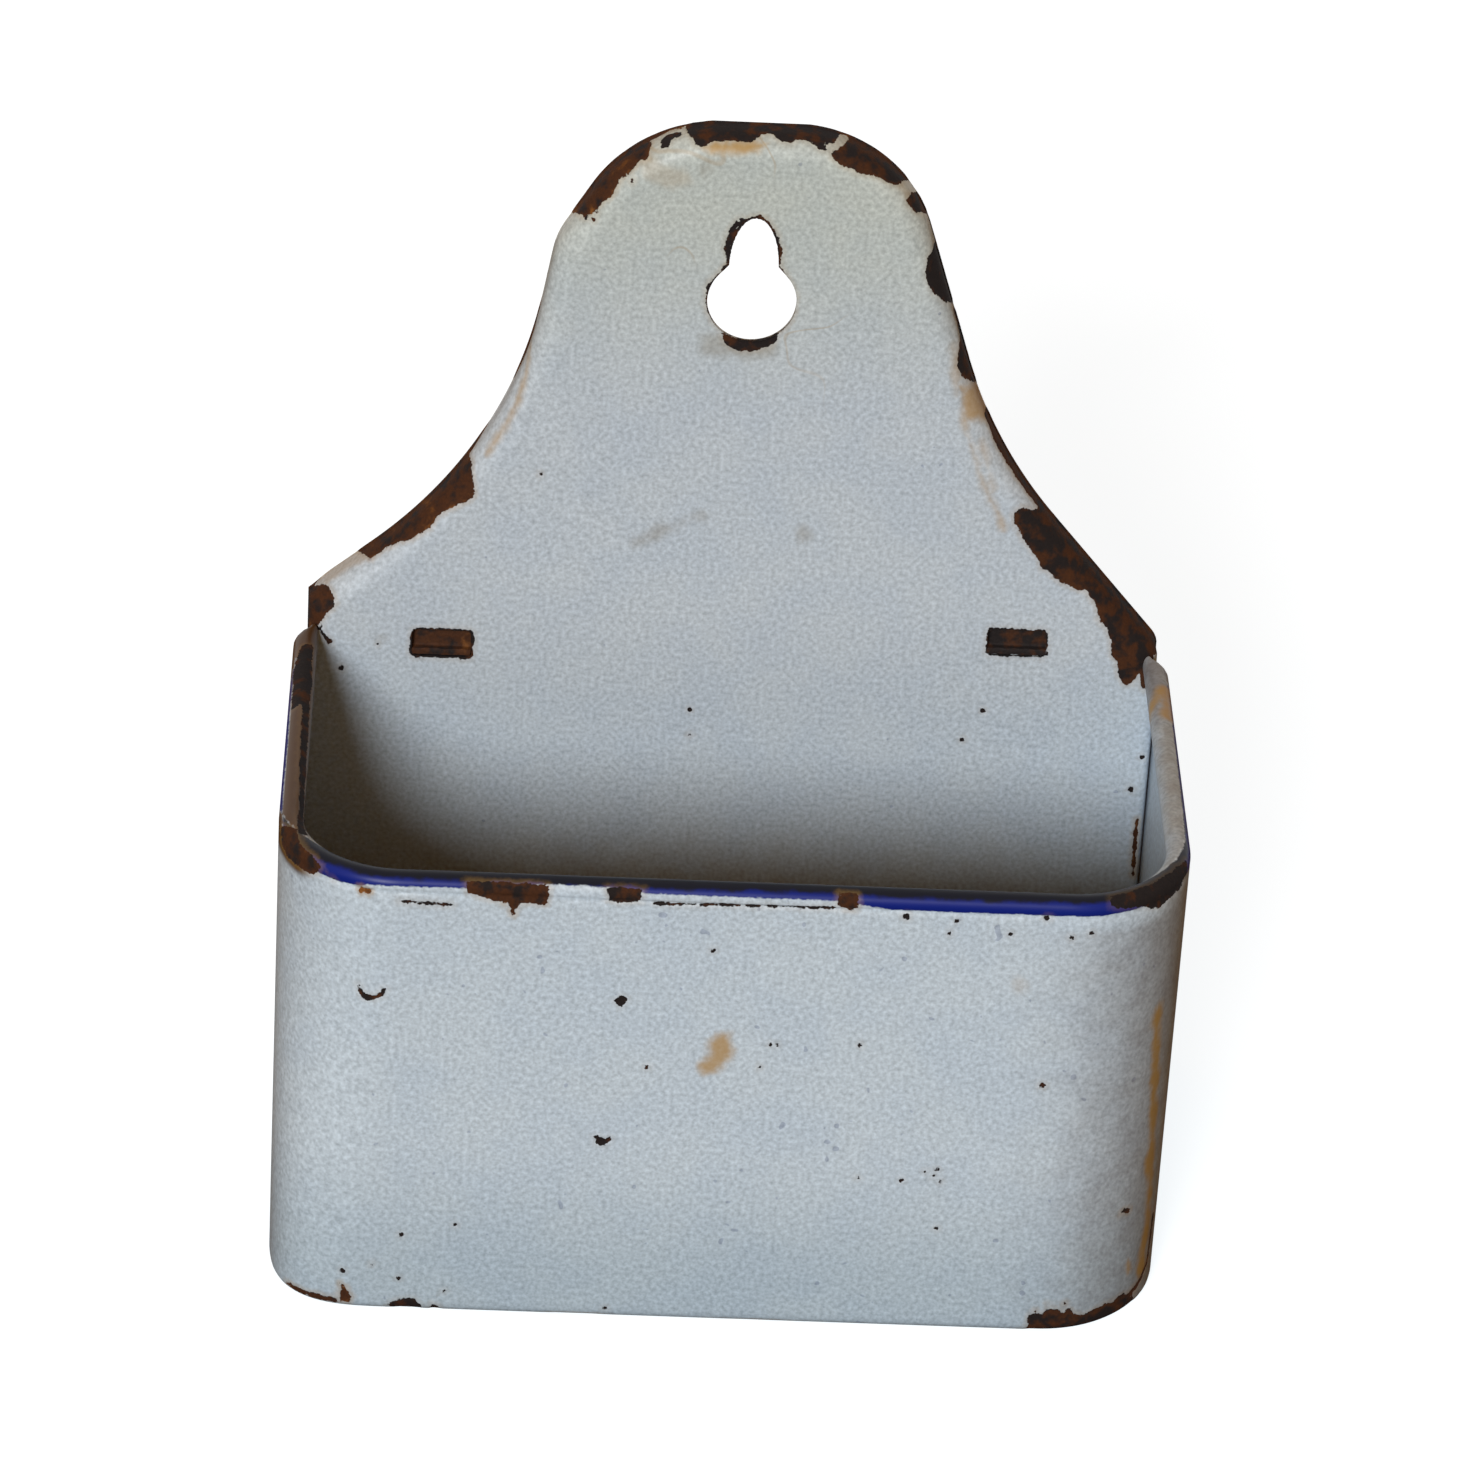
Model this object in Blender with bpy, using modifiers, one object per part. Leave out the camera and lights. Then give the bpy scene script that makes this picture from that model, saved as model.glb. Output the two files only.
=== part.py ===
"""A small wall box of enamelled sheet steel, open at the top, for a nail in the wall.

The back plate is a bell-shaped sheet with its edge turned back all round, a keyhole for the
nail and two slots for the hinge tongues of a lid. One strip of sheet makes the left side, the
front and the right side. Its top edge is rolled inwards over a wire, and its lower edge is
turned in to carry the bottom, which is a shallow pan. The lid is gone, and only the stubs of
its two hinge tongues are left behind the slots.

Metres, +Z up. The box opens upwards, its front faces -Y and its back plate +Y. The origin is
on the surface it stands on, at the middle of its length and depth.
"""

import math

import bmesh
import bpy
from mathutils import Matrix, Vector

# Sheet and seams
SHEET = 0.0007
SEAM_GAP = 0.0003

# Body strip
BODY_WIDTH = 0.110
BODY_DEPTH = 0.060
BODY_HEIGHT = 0.0627
CORNER_RADIUS = 0.015
RIM_RADIUS = 0.0015
RIM_WIRE_RADIUS = 0.0005
FOOT_WIDTH = 0.0035
FOOT_BEND_RADIUS = 0.0015

# Bottom pan
PAN_FLANGE = 0.005
PAN_BEND_RADIUS = 0.0015
PAN_REAR_CORNER_RADIUS = 0.003

# Back plate
PLATE_HEIGHT = 0.1322
PLATE_FLANGE = 0.005
PLATE_BEND_RADIUS = 0.003
PLATE_FOOT_CORNER_RADIUS = 0.004
HEAD_HALF_WIDTH = 0.0172
HEAD_RADIUS = 0.0185
WAIST_HALF_WIDTH = 0.0309
WAIST_RISE = 0.0241
WAIST_RADIUS = 0.036
SHOULDER_RISE = 0.0020

# Keyhole
NAIL_HEAD_RADIUS = 0.0055
NAIL_NECK_RADIUS = 0.003
NAIL_NECK_DROP = 0.0135
NAIL_TRAVEL = 0.0084

# Hinge slots, which the punch left a little out of level
SLOT_WIDTH = 0.0082
SLOT_OPENING = 0.0040
SLOT_INSET = 0.0188
SLOT_DROP = 0.0006
SLOT_SKEW = 0.0016
SLOT_CORNER_RADIUS = 0.0005

# Stubs of the lid's hinge tongues
TONGUE_SHEET = 0.0008
TONGUE_BEND_RADIUS = 0.0011
TONGUE_RISE = 0.004

# How far a cutter runs past what it cuts
OVERRUN = 0.002

# Facets of each round stretch
CORNER_STEPS = 10
RIM_STEPS = 12
BEND_STEPS = 3
HEAD_STEPS = 14
WAIST_STEPS = 6
SMALL_CORNER_STEPS = 4
KEYHOLE_STEPS = 24
WIRE_BEVEL_RESOLUTION = 2

# Where the main faces lie
OVERALL_DEPTH = BODY_DEPTH + PLATE_FLANGE
FRONT_Y = -OVERALL_DEPTH / 2
REAR_Y = OVERALL_DEPTH / 2
PLATE_FRONT_Y = REAR_Y - PLATE_FLANGE
PLATE_REAR_Y = PLATE_FRONT_Y + SHEET
PAN_UNDERSIDE_Z = SHEET + SEAM_GAP
INNER_HALF_WIDTH = BODY_WIDTH / 2 - SHEET - SEAM_GAP
SHOULDER_Z = BODY_HEIGHT + SHOULDER_RISE
WAIST_Z = SHOULDER_Z + WAIST_RISE
NAIL_NECK_Z = PLATE_HEIGHT - NAIL_NECK_DROP
NAIL_HEAD_Z = NAIL_NECK_Z - NAIL_TRAVEL

ENAMEL = ("white_enamel", (0.62, 0.70, 0.74, 1.0), 0.0, 0.28)
WIRE_STEEL = ("iron_wire", (0.30, 0.28, 0.27, 1.0), 0.9, 0.55)
RUST = ("rusted_steel", (0.17, 0.07, 0.03, 1.0), 0.3, 0.85)


def clear_scene():
    """Remove what the startup file holds."""
    for obj in list(bpy.data.objects):
        bpy.data.objects.remove(obj, do_unlink=True)


def make_collection(name, hidden=False):
    collection = bpy.data.collections.new(name)
    bpy.context.scene.collection.children.link(collection)
    collection.hide_render = hidden
    return collection


def make_material(spec):
    """A Principled material from a name, a colour, a metallic value and a roughness."""
    name, colour, metallic, roughness = spec
    material = bpy.data.materials.new(name)
    material.use_nodes = True
    material.diffuse_color = colour
    shader = material.node_tree.nodes["Principled BSDF"]
    shader.inputs["Base Color"].default_value = colour
    shader.inputs["Metallic"].default_value = metallic
    shader.inputs["Roughness"].default_value = roughness
    return material


def arc(centre, radius, start, end, steps):
    """Points on an arc round a 2D centre, both ends among them."""
    angles = [start + (end - start) * i / steps for i in range(steps + 1)]
    return [Vector((centre[0] + radius * math.cos(a), centre[1] + radius * math.sin(a))) for a in angles]


def filleted(corners):
    """A closed 2D outline through (x, y, fillet radius, steps) corners, with an arc at each fillet."""
    points = []
    count = len(corners)
    for i, (x, y, radius, steps) in enumerate(corners):
        here = Vector((x, y))
        if not radius:
            points.append(here)
            continue
        back = (Vector(corners[i - 1][:2]) - here).normalized()
        ahead = (Vector(corners[(i + 1) % count][:2]) - here).normalized()
        half_angle = back.angle(ahead) / 2
        centre = here + (back + ahead).normalized() * radius / math.sin(half_angle)
        start = here + back * radius / math.tan(half_angle) - centre
        end = here + ahead * radius / math.tan(half_angle) - centre
        sweep = start.angle_signed(end)
        turn = Matrix.Rotation(-sweep / steps, 2)
        for _ in range(steps + 1):
            points.append(centre + start)
            start = turn @ start
    return points


def new_vertices(bm, points, place):
    """One vertex for each 2D point, put in space by place(u, v)."""
    return [bm.verts.new(place(u, v)) for u, v in points]


def face_towards(bm, direction):
    """Turn all faces over if the largest one looks away from the direction."""
    largest = max(bm.faces, key=lambda face: face.calc_area())
    largest.normal_update()
    if largest.normal.dot(direction) < 0:
        bmesh.ops.reverse_faces(bm, faces=bm.faces)
    bm.normal_update()


def add_piece(name, bm, collection, material=None):
    """An object of this mesh, at the origin, shaded smooth but for its edges."""
    mesh = bpy.data.meshes.new(name)
    bm.to_mesh(mesh)
    bm.free()
    mesh.shade_smooth()
    mesh.set_sharp_from_angle(angle=math.radians(35))
    if material:
        mesh.materials.append(material)
    obj = bpy.data.objects.new(name, mesh)
    collection.objects.link(obj)
    return obj


def thicken(obj, thickness):
    """Give an open sheet its thickness, on the side that its faces look away from."""
    solidify = obj.modifiers.new("sheet", "SOLIDIFY")
    solidify.thickness = thickness
    solidify.offset = -1
    solidify.use_even_offset = True


def cut(obj, cutter):
    boolean = obj.modifiers.new(cutter.name, "BOOLEAN")
    boolean.operation = "DIFFERENCE"
    boolean.object = cutter


def add_cutter(name, bm, collection):
    """A closed mesh that only cuts others."""
    bmesh.ops.recalc_face_normals(bm, faces=bm.faces)
    cutter = add_piece(name, bm, collection)
    cutter.hide_render = True
    cutter.display_type = "WIRE"
    return cutter


def prism_cutter(name, outline, low_y, high_y, collection):
    """A cutter with this outline in x and z, from low_y to high_y."""
    bm = bmesh.new()
    face = bm.faces.new(new_vertices(bm, outline, lambda x, z: (x, low_y, z)))
    extruded = bmesh.ops.extrude_face_region(bm, geom=[face])
    moved = [item for item in extruded["geom"] if isinstance(item, bmesh.types.BMVert)]
    bmesh.ops.translate(bm, verts=moved, vec=(0, high_y - low_y, 0))
    return add_cutter(name, bm, collection)


def tray(outline, place, front, flange, bend_radius):
    """An open sheet: a flat face with this outline and its edge turned up all round.

    place(u, v, w) puts a point of the outline's plane in space, with w measured from the flat
    face towards the flange's free edge. front is the way that the flat face looks.
    """
    bm = bmesh.new()
    rim = new_vertices(bm, outline, lambda u, v: (u, v, flange))
    floor = bm.faces.new(rim)
    floor.normal_update()
    if floor.normal.z > 0:
        floor.normal_flip()
    extruded = bmesh.ops.extrude_face_region(bm, geom=[floor])
    moved = [item for item in extruded["geom"] if isinstance(item, bmesh.types.BMVert)]
    bmesh.ops.translate(bm, verts=moved, vec=(0, 0, bend_radius - flange))
    bmesh.ops.delete(bm, geom=[floor], context="FACES_ONLY")
    floor = next(item for item in extruded["geom"] if isinstance(item, bmesh.types.BMFace))
    step = math.pi / 2 / BEND_STEPS
    for i in range(BEND_STEPS):
        inwards = bend_radius * (math.cos(i * step) - math.cos((i + 1) * step))
        down = bend_radius * (math.sin((i + 1) * step) - math.sin(i * step))
        bmesh.ops.inset_region(bm, faces=[floor], thickness=inwards, depth=down, use_even_offset=True)
    for vert in bm.verts:
        vert.co = place(*vert.co)
    face_towards(bm, front)
    return bm


def body_section():
    """The strip's outer side as (distance inside the outer face, height): foot, wall and rolled rim."""
    foot = [Vector((FOOT_WIDTH, 0))]
    bend = arc((FOOT_BEND_RADIUS, FOOT_BEND_RADIUS), FOOT_BEND_RADIUS, -math.pi / 2, -math.pi, 2 * BEND_STEPS)
    rim = arc((RIM_RADIUS, BODY_HEIGHT - RIM_RADIUS), RIM_RADIUS, math.pi, -math.pi / 2, RIM_STEPS)
    return foot + bend + rim


def build_body_wall(parts, cutters, material):
    """Sweep the strip's section along the left side, round two corners and along the right side."""
    bm = bmesh.new()
    half = BODY_WIDTH / 2
    verts = new_vertices(bm, body_section(), lambda inside, z: (inside - half, REAR_Y, z))
    edges = [bm.edges.new(pair) for pair in zip(verts, verts[1:])]

    def run(edges, vec):
        extruded = bmesh.ops.extrude_edge_only(bm, edges=edges)["geom"]
        moved = [item for item in extruded if isinstance(item, bmesh.types.BMVert)]
        bmesh.ops.translate(bm, verts=moved, vec=vec)
        return [item for item in extruded if isinstance(item, bmesh.types.BMEdge)]

    def corner(edges, centre_x):
        ends = {vert for edge in edges for vert in edge.verts}
        spun = bmesh.ops.spin(
            bm,
            geom=list(ends) + edges,
            cent=(centre_x, FRONT_Y + CORNER_RADIUS, 0),
            axis=(0, 0, 1),
            angle=math.pi / 2,
            steps=CORNER_STEPS,
        )["geom_last"]
        return [item for item in spun if isinstance(item, bmesh.types.BMEdge)]

    side = Vector((0, OVERALL_DEPTH - CORNER_RADIUS, 0))
    edges = run(edges, -side)
    edges = corner(edges, CORNER_RADIUS - half)
    edges = run(edges, Vector((BODY_WIDTH - 2 * CORNER_RADIUS, 0, 0)))
    edges = corner(edges, half - CORNER_RADIUS)
    run(edges, side)
    face_towards(bm, Vector((0, -1, 0)))
    wall = add_piece("body_wall", bm, parts, material)
    thicken(wall, SHEET)
    for name, side_sign in (("rim_end_cutter_left", -1), ("rim_end_cutter_right", 1)):
        inside = half - 2 * RIM_RADIUS - OVERRUN
        outside = half + OVERRUN
        low = BODY_HEIGHT - 2 * RIM_RADIUS - SEAM_GAP
        high = BODY_HEIGHT + OVERRUN
        outline = [(inside, low), (outside, low), (outside, high), (inside, high)]
        outline = [(side_sign * x, z) for x, z in outline]
        cut(wall, prism_cutter(name, outline, PLATE_FRONT_Y - SEAM_GAP, REAR_Y + OVERRUN, cutters))
    return wall


def build_rim_wire(parts, material):
    """The wire that the rim is rolled over, from one side of the back plate to the other."""
    half = BODY_WIDTH / 2 - RIM_RADIUS
    radius = CORNER_RADIUS - RIM_RADIUS
    corner_y = FRONT_Y + CORNER_RADIUS
    end_y = PLATE_FRONT_Y - SEAM_GAP
    left = arc((CORNER_RADIUS - BODY_WIDTH / 2, corner_y), radius, math.pi, math.pi * 3 / 2, CORNER_STEPS)
    right = arc((BODY_WIDTH / 2 - CORNER_RADIUS, corner_y), radius, -math.pi / 2, 0, CORNER_STEPS)
    route = [(-half, end_y)] + left + right + [(half, end_y)]
    curve = bpy.data.curves.new("rim_wire", "CURVE")
    curve.dimensions = "3D"
    curve.bevel_depth = RIM_WIRE_RADIUS
    curve.bevel_resolution = WIRE_BEVEL_RESOLUTION
    curve.use_fill_caps = True
    spline = curve.splines.new("POLY")
    spline.points.add(len(route) - 1)
    for point, (x, y) in zip(spline.points, route):
        point.co = (x, y, BODY_HEIGHT - RIM_RADIUS, 1)
    curve.materials.append(material)
    wire = bpy.data.objects.new("rim_wire", curve)
    parts.objects.link(wire)
    return wire


def build_bottom_plate(parts, material):
    """The shallow pan that lies on the strip's turned-in foot, with its edge up inside the walls."""
    front = FRONT_Y + SHEET + SEAM_GAP
    rear = PLATE_FRONT_Y - SEAM_GAP
    front_radius = CORNER_RADIUS - SHEET - SEAM_GAP
    outline = filleted(
        [
            (-INNER_HALF_WIDTH, front, front_radius, CORNER_STEPS),
            (INNER_HALF_WIDTH, front, front_radius, CORNER_STEPS),
            (INNER_HALF_WIDTH, rear, PAN_REAR_CORNER_RADIUS, SMALL_CORNER_STEPS),
            (-INNER_HALF_WIDTH, rear, PAN_REAR_CORNER_RADIUS, SMALL_CORNER_STEPS),
        ]
    )
    bm = tray(
        outline,
        lambda x, y, w: (x, y, PAN_UNDERSIDE_Z + w),
        Vector((0, 0, -1)),
        PAN_FLANGE,
        PAN_BEND_RADIUS,
    )
    pan = add_piece("bottom_plate", bm, parts, material)
    thicken(pan, SHEET)
    return pan


def plate_outline():
    """The bell of the back plate in x and z, from its lower right corner round over the head."""
    foot_z = PAN_UNDERSIDE_Z
    right = [
        (INNER_HALF_WIDTH, foot_z, PLATE_FOOT_CORNER_RADIUS, SMALL_CORNER_STEPS),
        (INNER_HALF_WIDTH, SHOULDER_Z, 0, 0),
        (WAIST_HALF_WIDTH, WAIST_Z, WAIST_RADIUS, WAIST_STEPS),
        (HEAD_HALF_WIDTH, PLATE_HEIGHT, HEAD_RADIUS, HEAD_STEPS),
    ]
    left = [(-x, z, radius, steps) for x, z, radius, steps in reversed(right)]
    return filleted(right + left)


def keyhole_outline():
    """The wide lower lobe that passes a nail's head, and the narrow neck above that hangs on it."""
    meeting = math.acos(NAIL_NECK_RADIUS / NAIL_HEAD_RADIUS)
    lobe = arc((0, NAIL_HEAD_Z), NAIL_HEAD_RADIUS, meeting, -math.pi - meeting, KEYHOLE_STEPS)
    neck = arc((0, NAIL_NECK_Z), NAIL_NECK_RADIUS, math.pi, 0, KEYHOLE_STEPS // 2)
    return lobe + neck


def slot_place(side_sign):
    """The middle of one hinge slot in x and z. The right one sits higher than the left."""
    return side_sign * (BODY_WIDTH / 2 - SLOT_INSET), BODY_HEIGHT - SLOT_DROP + side_sign * SLOT_SKEW


def build_back_plate(parts, cutters, material):
    bm = tray(
        plate_outline(),
        lambda x, z, w: (x, PLATE_FRONT_Y + w, z),
        Vector((0, -1, 0)),
        PLATE_FLANGE,
        PLATE_BEND_RADIUS,
    )
    plate = add_piece("back_plate", bm, parts, material)
    thicken(plate, SHEET)
    low_y = PLATE_FRONT_Y - OVERRUN
    high_y = PLATE_REAR_Y + OVERRUN
    cut(plate, prism_cutter("keyhole_cutter", keyhole_outline(), low_y, high_y, cutters))
    for name, side_sign in (("slot_cutter_left", -1), ("slot_cutter_right", 1)):
        x, z = slot_place(side_sign)
        half_width = SLOT_WIDTH / 2
        half_opening = SLOT_OPENING / 2
        outline = filleted(
            [
                (x - half_width, z - half_opening, SLOT_CORNER_RADIUS, SMALL_CORNER_STEPS),
                (x + half_width, z - half_opening, SLOT_CORNER_RADIUS, SMALL_CORNER_STEPS),
                (x + half_width, z + half_opening, SLOT_CORNER_RADIUS, SMALL_CORNER_STEPS),
                (x - half_width, z + half_opening, SLOT_CORNER_RADIUS, SMALL_CORNER_STEPS),
            ]
        )
        cut(plate, prism_cutter(name, outline, low_y, high_y, cutters))
    return plate


def build_hinge_tongue(name, side_sign, parts, material):
    """A tongue's stub: it lies in the slot, broken off flush in front, and is bent up behind."""
    x, slot_z = slot_place(side_sign)
    half_width = SLOT_WIDTH / 2 - SEAM_GAP
    low_z = slot_z - SLOT_OPENING / 2 + SEAM_GAP
    high_z = slot_z + SLOT_OPENING / 2 + TONGUE_RISE
    back_y = PLATE_REAR_Y + SEAM_GAP + TONGUE_SHEET
    bend_centre = (back_y - TONGUE_BEND_RADIUS, low_z + TONGUE_BEND_RADIUS)
    section = [Vector((PLATE_FRONT_Y, low_z))]
    section += arc(bend_centre, TONGUE_BEND_RADIUS, -math.pi / 2, 0, 2 * BEND_STEPS)
    section += [Vector((back_y, high_z))]
    bm = bmesh.new()
    verts = new_vertices(bm, section, lambda y, z: (x - half_width, y, z))
    edges = [bm.edges.new(pair) for pair in zip(verts, verts[1:])]
    extruded = bmesh.ops.extrude_edge_only(bm, edges=edges)["geom"]
    moved = [item for item in extruded if isinstance(item, bmesh.types.BMVert)]
    bmesh.ops.translate(bm, verts=moved, vec=(2 * half_width, 0, 0))
    face_towards(bm, Vector((0, 1, 0)))
    tongue = add_piece(name, bm, parts, material)
    thicken(tongue, TONGUE_SHEET)
    return tongue


def main():
    clear_scene()
    parts = make_collection("enamelled_wall_box")
    cutters = make_collection("cutters", hidden=True)
    enamel = make_material(ENAMEL)
    rust = make_material(RUST)
    build_back_plate(parts, cutters, enamel)
    build_body_wall(parts, cutters, enamel)
    build_bottom_plate(parts, enamel)
    build_rim_wire(parts, make_material(WIRE_STEEL))
    build_hinge_tongue("hinge_tongue_left", -1, parts, rust)
    build_hinge_tongue("hinge_tongue_right", 1, parts, rust)


main()
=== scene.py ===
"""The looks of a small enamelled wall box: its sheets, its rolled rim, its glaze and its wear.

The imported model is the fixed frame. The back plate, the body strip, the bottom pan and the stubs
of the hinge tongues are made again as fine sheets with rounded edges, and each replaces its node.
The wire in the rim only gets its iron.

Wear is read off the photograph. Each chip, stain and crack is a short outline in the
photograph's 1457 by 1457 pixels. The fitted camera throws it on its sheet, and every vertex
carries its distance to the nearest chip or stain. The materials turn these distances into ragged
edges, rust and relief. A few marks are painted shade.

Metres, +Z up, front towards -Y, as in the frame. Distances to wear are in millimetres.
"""

import logging
import math
from dataclasses import dataclass, field
from enum import Enum

import bmesh
import bpy
import numpy as np
from mathutils import Matrix, Vector, noise
from mathutils.bvhtree import BVHTree
from mathutils.kdtree import KDTree


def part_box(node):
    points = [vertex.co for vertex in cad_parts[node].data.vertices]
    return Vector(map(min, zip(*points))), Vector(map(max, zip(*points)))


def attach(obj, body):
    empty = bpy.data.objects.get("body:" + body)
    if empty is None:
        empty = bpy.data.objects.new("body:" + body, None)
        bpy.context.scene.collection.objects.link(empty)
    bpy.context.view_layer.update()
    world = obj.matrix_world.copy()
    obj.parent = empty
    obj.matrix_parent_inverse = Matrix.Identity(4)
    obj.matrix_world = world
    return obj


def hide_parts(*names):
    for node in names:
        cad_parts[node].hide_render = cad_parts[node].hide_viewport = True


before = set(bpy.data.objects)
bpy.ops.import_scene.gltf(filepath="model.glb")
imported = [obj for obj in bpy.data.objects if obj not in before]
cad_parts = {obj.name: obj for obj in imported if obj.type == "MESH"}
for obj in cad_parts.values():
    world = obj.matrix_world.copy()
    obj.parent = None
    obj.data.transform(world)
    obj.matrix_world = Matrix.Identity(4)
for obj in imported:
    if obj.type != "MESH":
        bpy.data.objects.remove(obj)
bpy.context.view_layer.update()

LOG = logging.getLogger("wall_box")
MM = 0.001
PHOTO_SIZE = 1457
BODY = "root"

Pixel = tuple[float, float]
Colour = tuple[float, float, float]
EdgeWear = tuple[float, float, float]


def linear(red: int, green: int, blue: int) -> Colour:
    """Give a colour that is written as it looks on a screen, 0 to 255, in linear light."""
    shares = [value / 255 for value in (red, green, blue)]
    return tuple(s / 12.92 if s <= 0.04045 else ((s + 0.055) / 1.055) ** 2.4 for s in shares)


def smooth_share(values: np.ndarray | float, low: float, high: float) -> np.ndarray | float:
    """Ease numbers from a share of 0 at low to 1 at high."""
    share = np.clip((values - low) / (high - low), 0, 1)
    return share * share * (3 - 2 * share)


def way_out(azimuth: float, elevation: float) -> Vector:
    """Give the way to a place, by its angle to the right of the front and its angle of rise."""
    level = math.cos(elevation)
    return Vector((math.sin(azimuth) * level, -math.cos(azimuth) * level, math.sin(elevation)))


@dataclass(frozen=True)
class PhotoCamera:
    """The camera that took the photograph, as fitted to the box's outline."""

    aim: Vector = Vector((0, 0.0025, 0.060))
    elevation: float = math.radians(30.646)
    azimuth: float = math.radians(-2.387)
    roll: float = math.radians(3.391)
    distance: float = 0.87014
    focal_pixels: float = 7072.84
    aim_pixel: Pixel = (733.22, 758.93)
    sensor: float = 36.0

    def axes(self) -> tuple[Vector, Vector, Vector]:
        """Give the picture's right and up and the way back to the lens."""
        back = way_out(self.azimuth, self.elevation)
        right = (-back).cross(Vector((0, 0, 1))).normalized()
        tilt = Matrix.Rotation(self.roll, 3, back)
        return tilt @ right, tilt @ right.cross(-back), back

    def place(self) -> Vector:
        """Give the lens's place."""
        return self.aim + self.axes()[2] * self.distance

    def ray(self, pixel: Pixel) -> Vector:
        """Give the way that one pixel of the photograph looks.

        Args:
            pixel: Column and row in the photograph.

        Returns:
            A unit vector away from the lens.
        """
        right, up, back = self.axes()
        across = (pixel[0] - self.aim_pixel[0]) / self.focal_pixels
        down = (pixel[1] - self.aim_pixel[1]) / self.focal_pixels
        return (-back + right * across - up * down).normalized()

    def create(self) -> None:
        """Make the camera and make it the scene's own."""
        data = bpy.data.cameras.new("photo_camera")
        data.sensor_width = self.sensor
        data.lens = self.focal_pixels * self.sensor / PHOTO_SIZE
        data.shift_x = 0.5 - self.aim_pixel[0] / PHOTO_SIZE
        data.shift_y = self.aim_pixel[1] / PHOTO_SIZE - 0.5
        data.clip_start = 0.05
        data.clip_end = 20
        camera = bpy.data.objects.new("photo_camera", data)
        right, up, back = self.axes()
        turn = Matrix((right, up, back)).transposed().to_4x4()
        camera.matrix_world = Matrix.Translation(self.place()) @ turn
        bpy.context.scene.collection.objects.link(camera)
        bpy.context.scene.camera = camera


class Graph:
    """A node tree, built one step at a time."""

    def __init__(self, tree: bpy.types.NodeTree) -> None:
        """Keep the tree to build in."""
        self.tree = tree

    def node(self, kind: str, **settings: object) -> bpy.types.Node:
        """Add a node.

        Args:
            kind: Blender's name of the node's type.
            settings: Properties to set on it.

        Returns:
            The new node.
        """
        added = self.tree.nodes.new(kind)
        for name, value in settings.items():
            setattr(added, name, value)
        return added

    def feed(self, socket: bpy.types.NodeSocket, value: object) -> None:
        """Link a socket to another, or write a plain value on it.

        Args:
            socket: The input to fill.
            value: An output socket, a number or a colour.
        """
        if isinstance(value, bpy.types.NodeSocket):
            self.tree.links.new(value, socket)
        elif isinstance(value, tuple) and len(socket.default_value) == 4:
            socket.default_value = (*value, 1.0)
        else:
            socket.default_value = value

    def math(self, operation: str, *values: object) -> bpy.types.NodeSocket:
        """Add a Math node.

        Args:
            operation: Blender's name of the sum to do.
            values: What goes into it, in order.

        Returns:
            Its result.
        """
        added = self.node("ShaderNodeMath", operation=operation)
        for socket, value in zip(added.inputs, values):
            self.feed(socket, value)
        return added.outputs[0]

    def ease(self, value: object, low: float, high: float) -> bpy.types.NodeSocket:
        """Ease from 0 at low to 1 at high, also where low is the larger.

        Args:
            value: The socket to read.
            low: Where the share is 0.
            high: Where the share is 1.

        Returns:
            The share.
        """
        added = self.node("ShaderNodeMapRange", interpolation_type="SMOOTHSTEP")
        for name, number in (("Value", value), ("From Min", low), ("From Max", high)):
            self.feed(added.inputs[name], number)
        return added.outputs["Result"]

    def noise(self, place: object, size: float, detail: float) -> bpy.types.NodeSocket:
        """Add noise, 0 to 1 and 0.5 on the whole.

        Args:
            place: The coordinates to read it at, in metres.
            size: How far apart its lumps are, in metres.
            detail: How many finer layers it has.

        Returns:
            Its value.
        """
        added = self.node("ShaderNodeTexNoise")
        self.feed(added.inputs["Vector"], place)
        added.inputs["Scale"].default_value = 1 / size
        added.inputs["Detail"].default_value = detail
        return added.outputs["Fac"]

    def blend(
        self, share: object, first: object, second: object, mode: str = "MIX"
    ) -> bpy.types.NodeSocket:
        """Mix two colours.

        Args:
            share: How much of the second one shows.
            first: A colour or socket.
            second: A colour or socket.
            mode: Blender's name of the way to mix them.

        Returns:
            The mixed colour.
        """
        added = self.node("ShaderNodeMix", data_type="RGBA", blend_type=mode)
        for index, value in ((0, share), (6, first), (7, second)):
            self.feed(added.inputs[index], value)
        return added.outputs[2]

    def sway(self, noise_value: object, reach: float, middle: object) -> bpy.types.NodeSocket:
        """Let a value swing as far as its reach, by noise that is 0.5 on the whole."""
        return self.math("MULTIPLY_ADD", self.math("SUBTRACT", noise_value, 0.5), reach, middle)

    def attribute(self, name: "Reading") -> bpy.types.NodeSocket:
        """Read a number that the mesh carries."""
        return self.node("ShaderNodeAttribute", attribute_name=name.value).outputs["Fac"]

    def place(self) -> bpy.types.NodeSocket:
        """Give the object's own coordinates, in metres."""
        return self.node("ShaderNodeTexCoord").outputs["Object"]

    def call(self, group: bpy.types.NodeTree, **values: object) -> bpy.types.Node:
        """Place a node group.

        Args:
            group: The group to place.
            values: Its inputs by name.

        Returns:
            The group's node.
        """
        added = self.node("ShaderNodeGroup", node_tree=group)
        for name, value in values.items():
            self.feed(added.inputs[name], value)
        return added


class Reading(Enum):
    """The numbers that a sheet's vertices carry for the materials."""

    # The chip, stain and grime readings carry wear, and in a few places painted shade too.
    CHIP_AND_SHADE = "chip_and_shade_mm"
    RUST = "rust_share"
    STAIN_AND_SHADE = "stain_and_shade_mm"
    STAIN_AND_SHADE_DEPTH = "stain_and_shade_share"
    SMUDGE = "smudge_mm"
    BLUE = "blue_mm"
    GRIME_AND_SHADE = "grime_and_shade_share"


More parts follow.
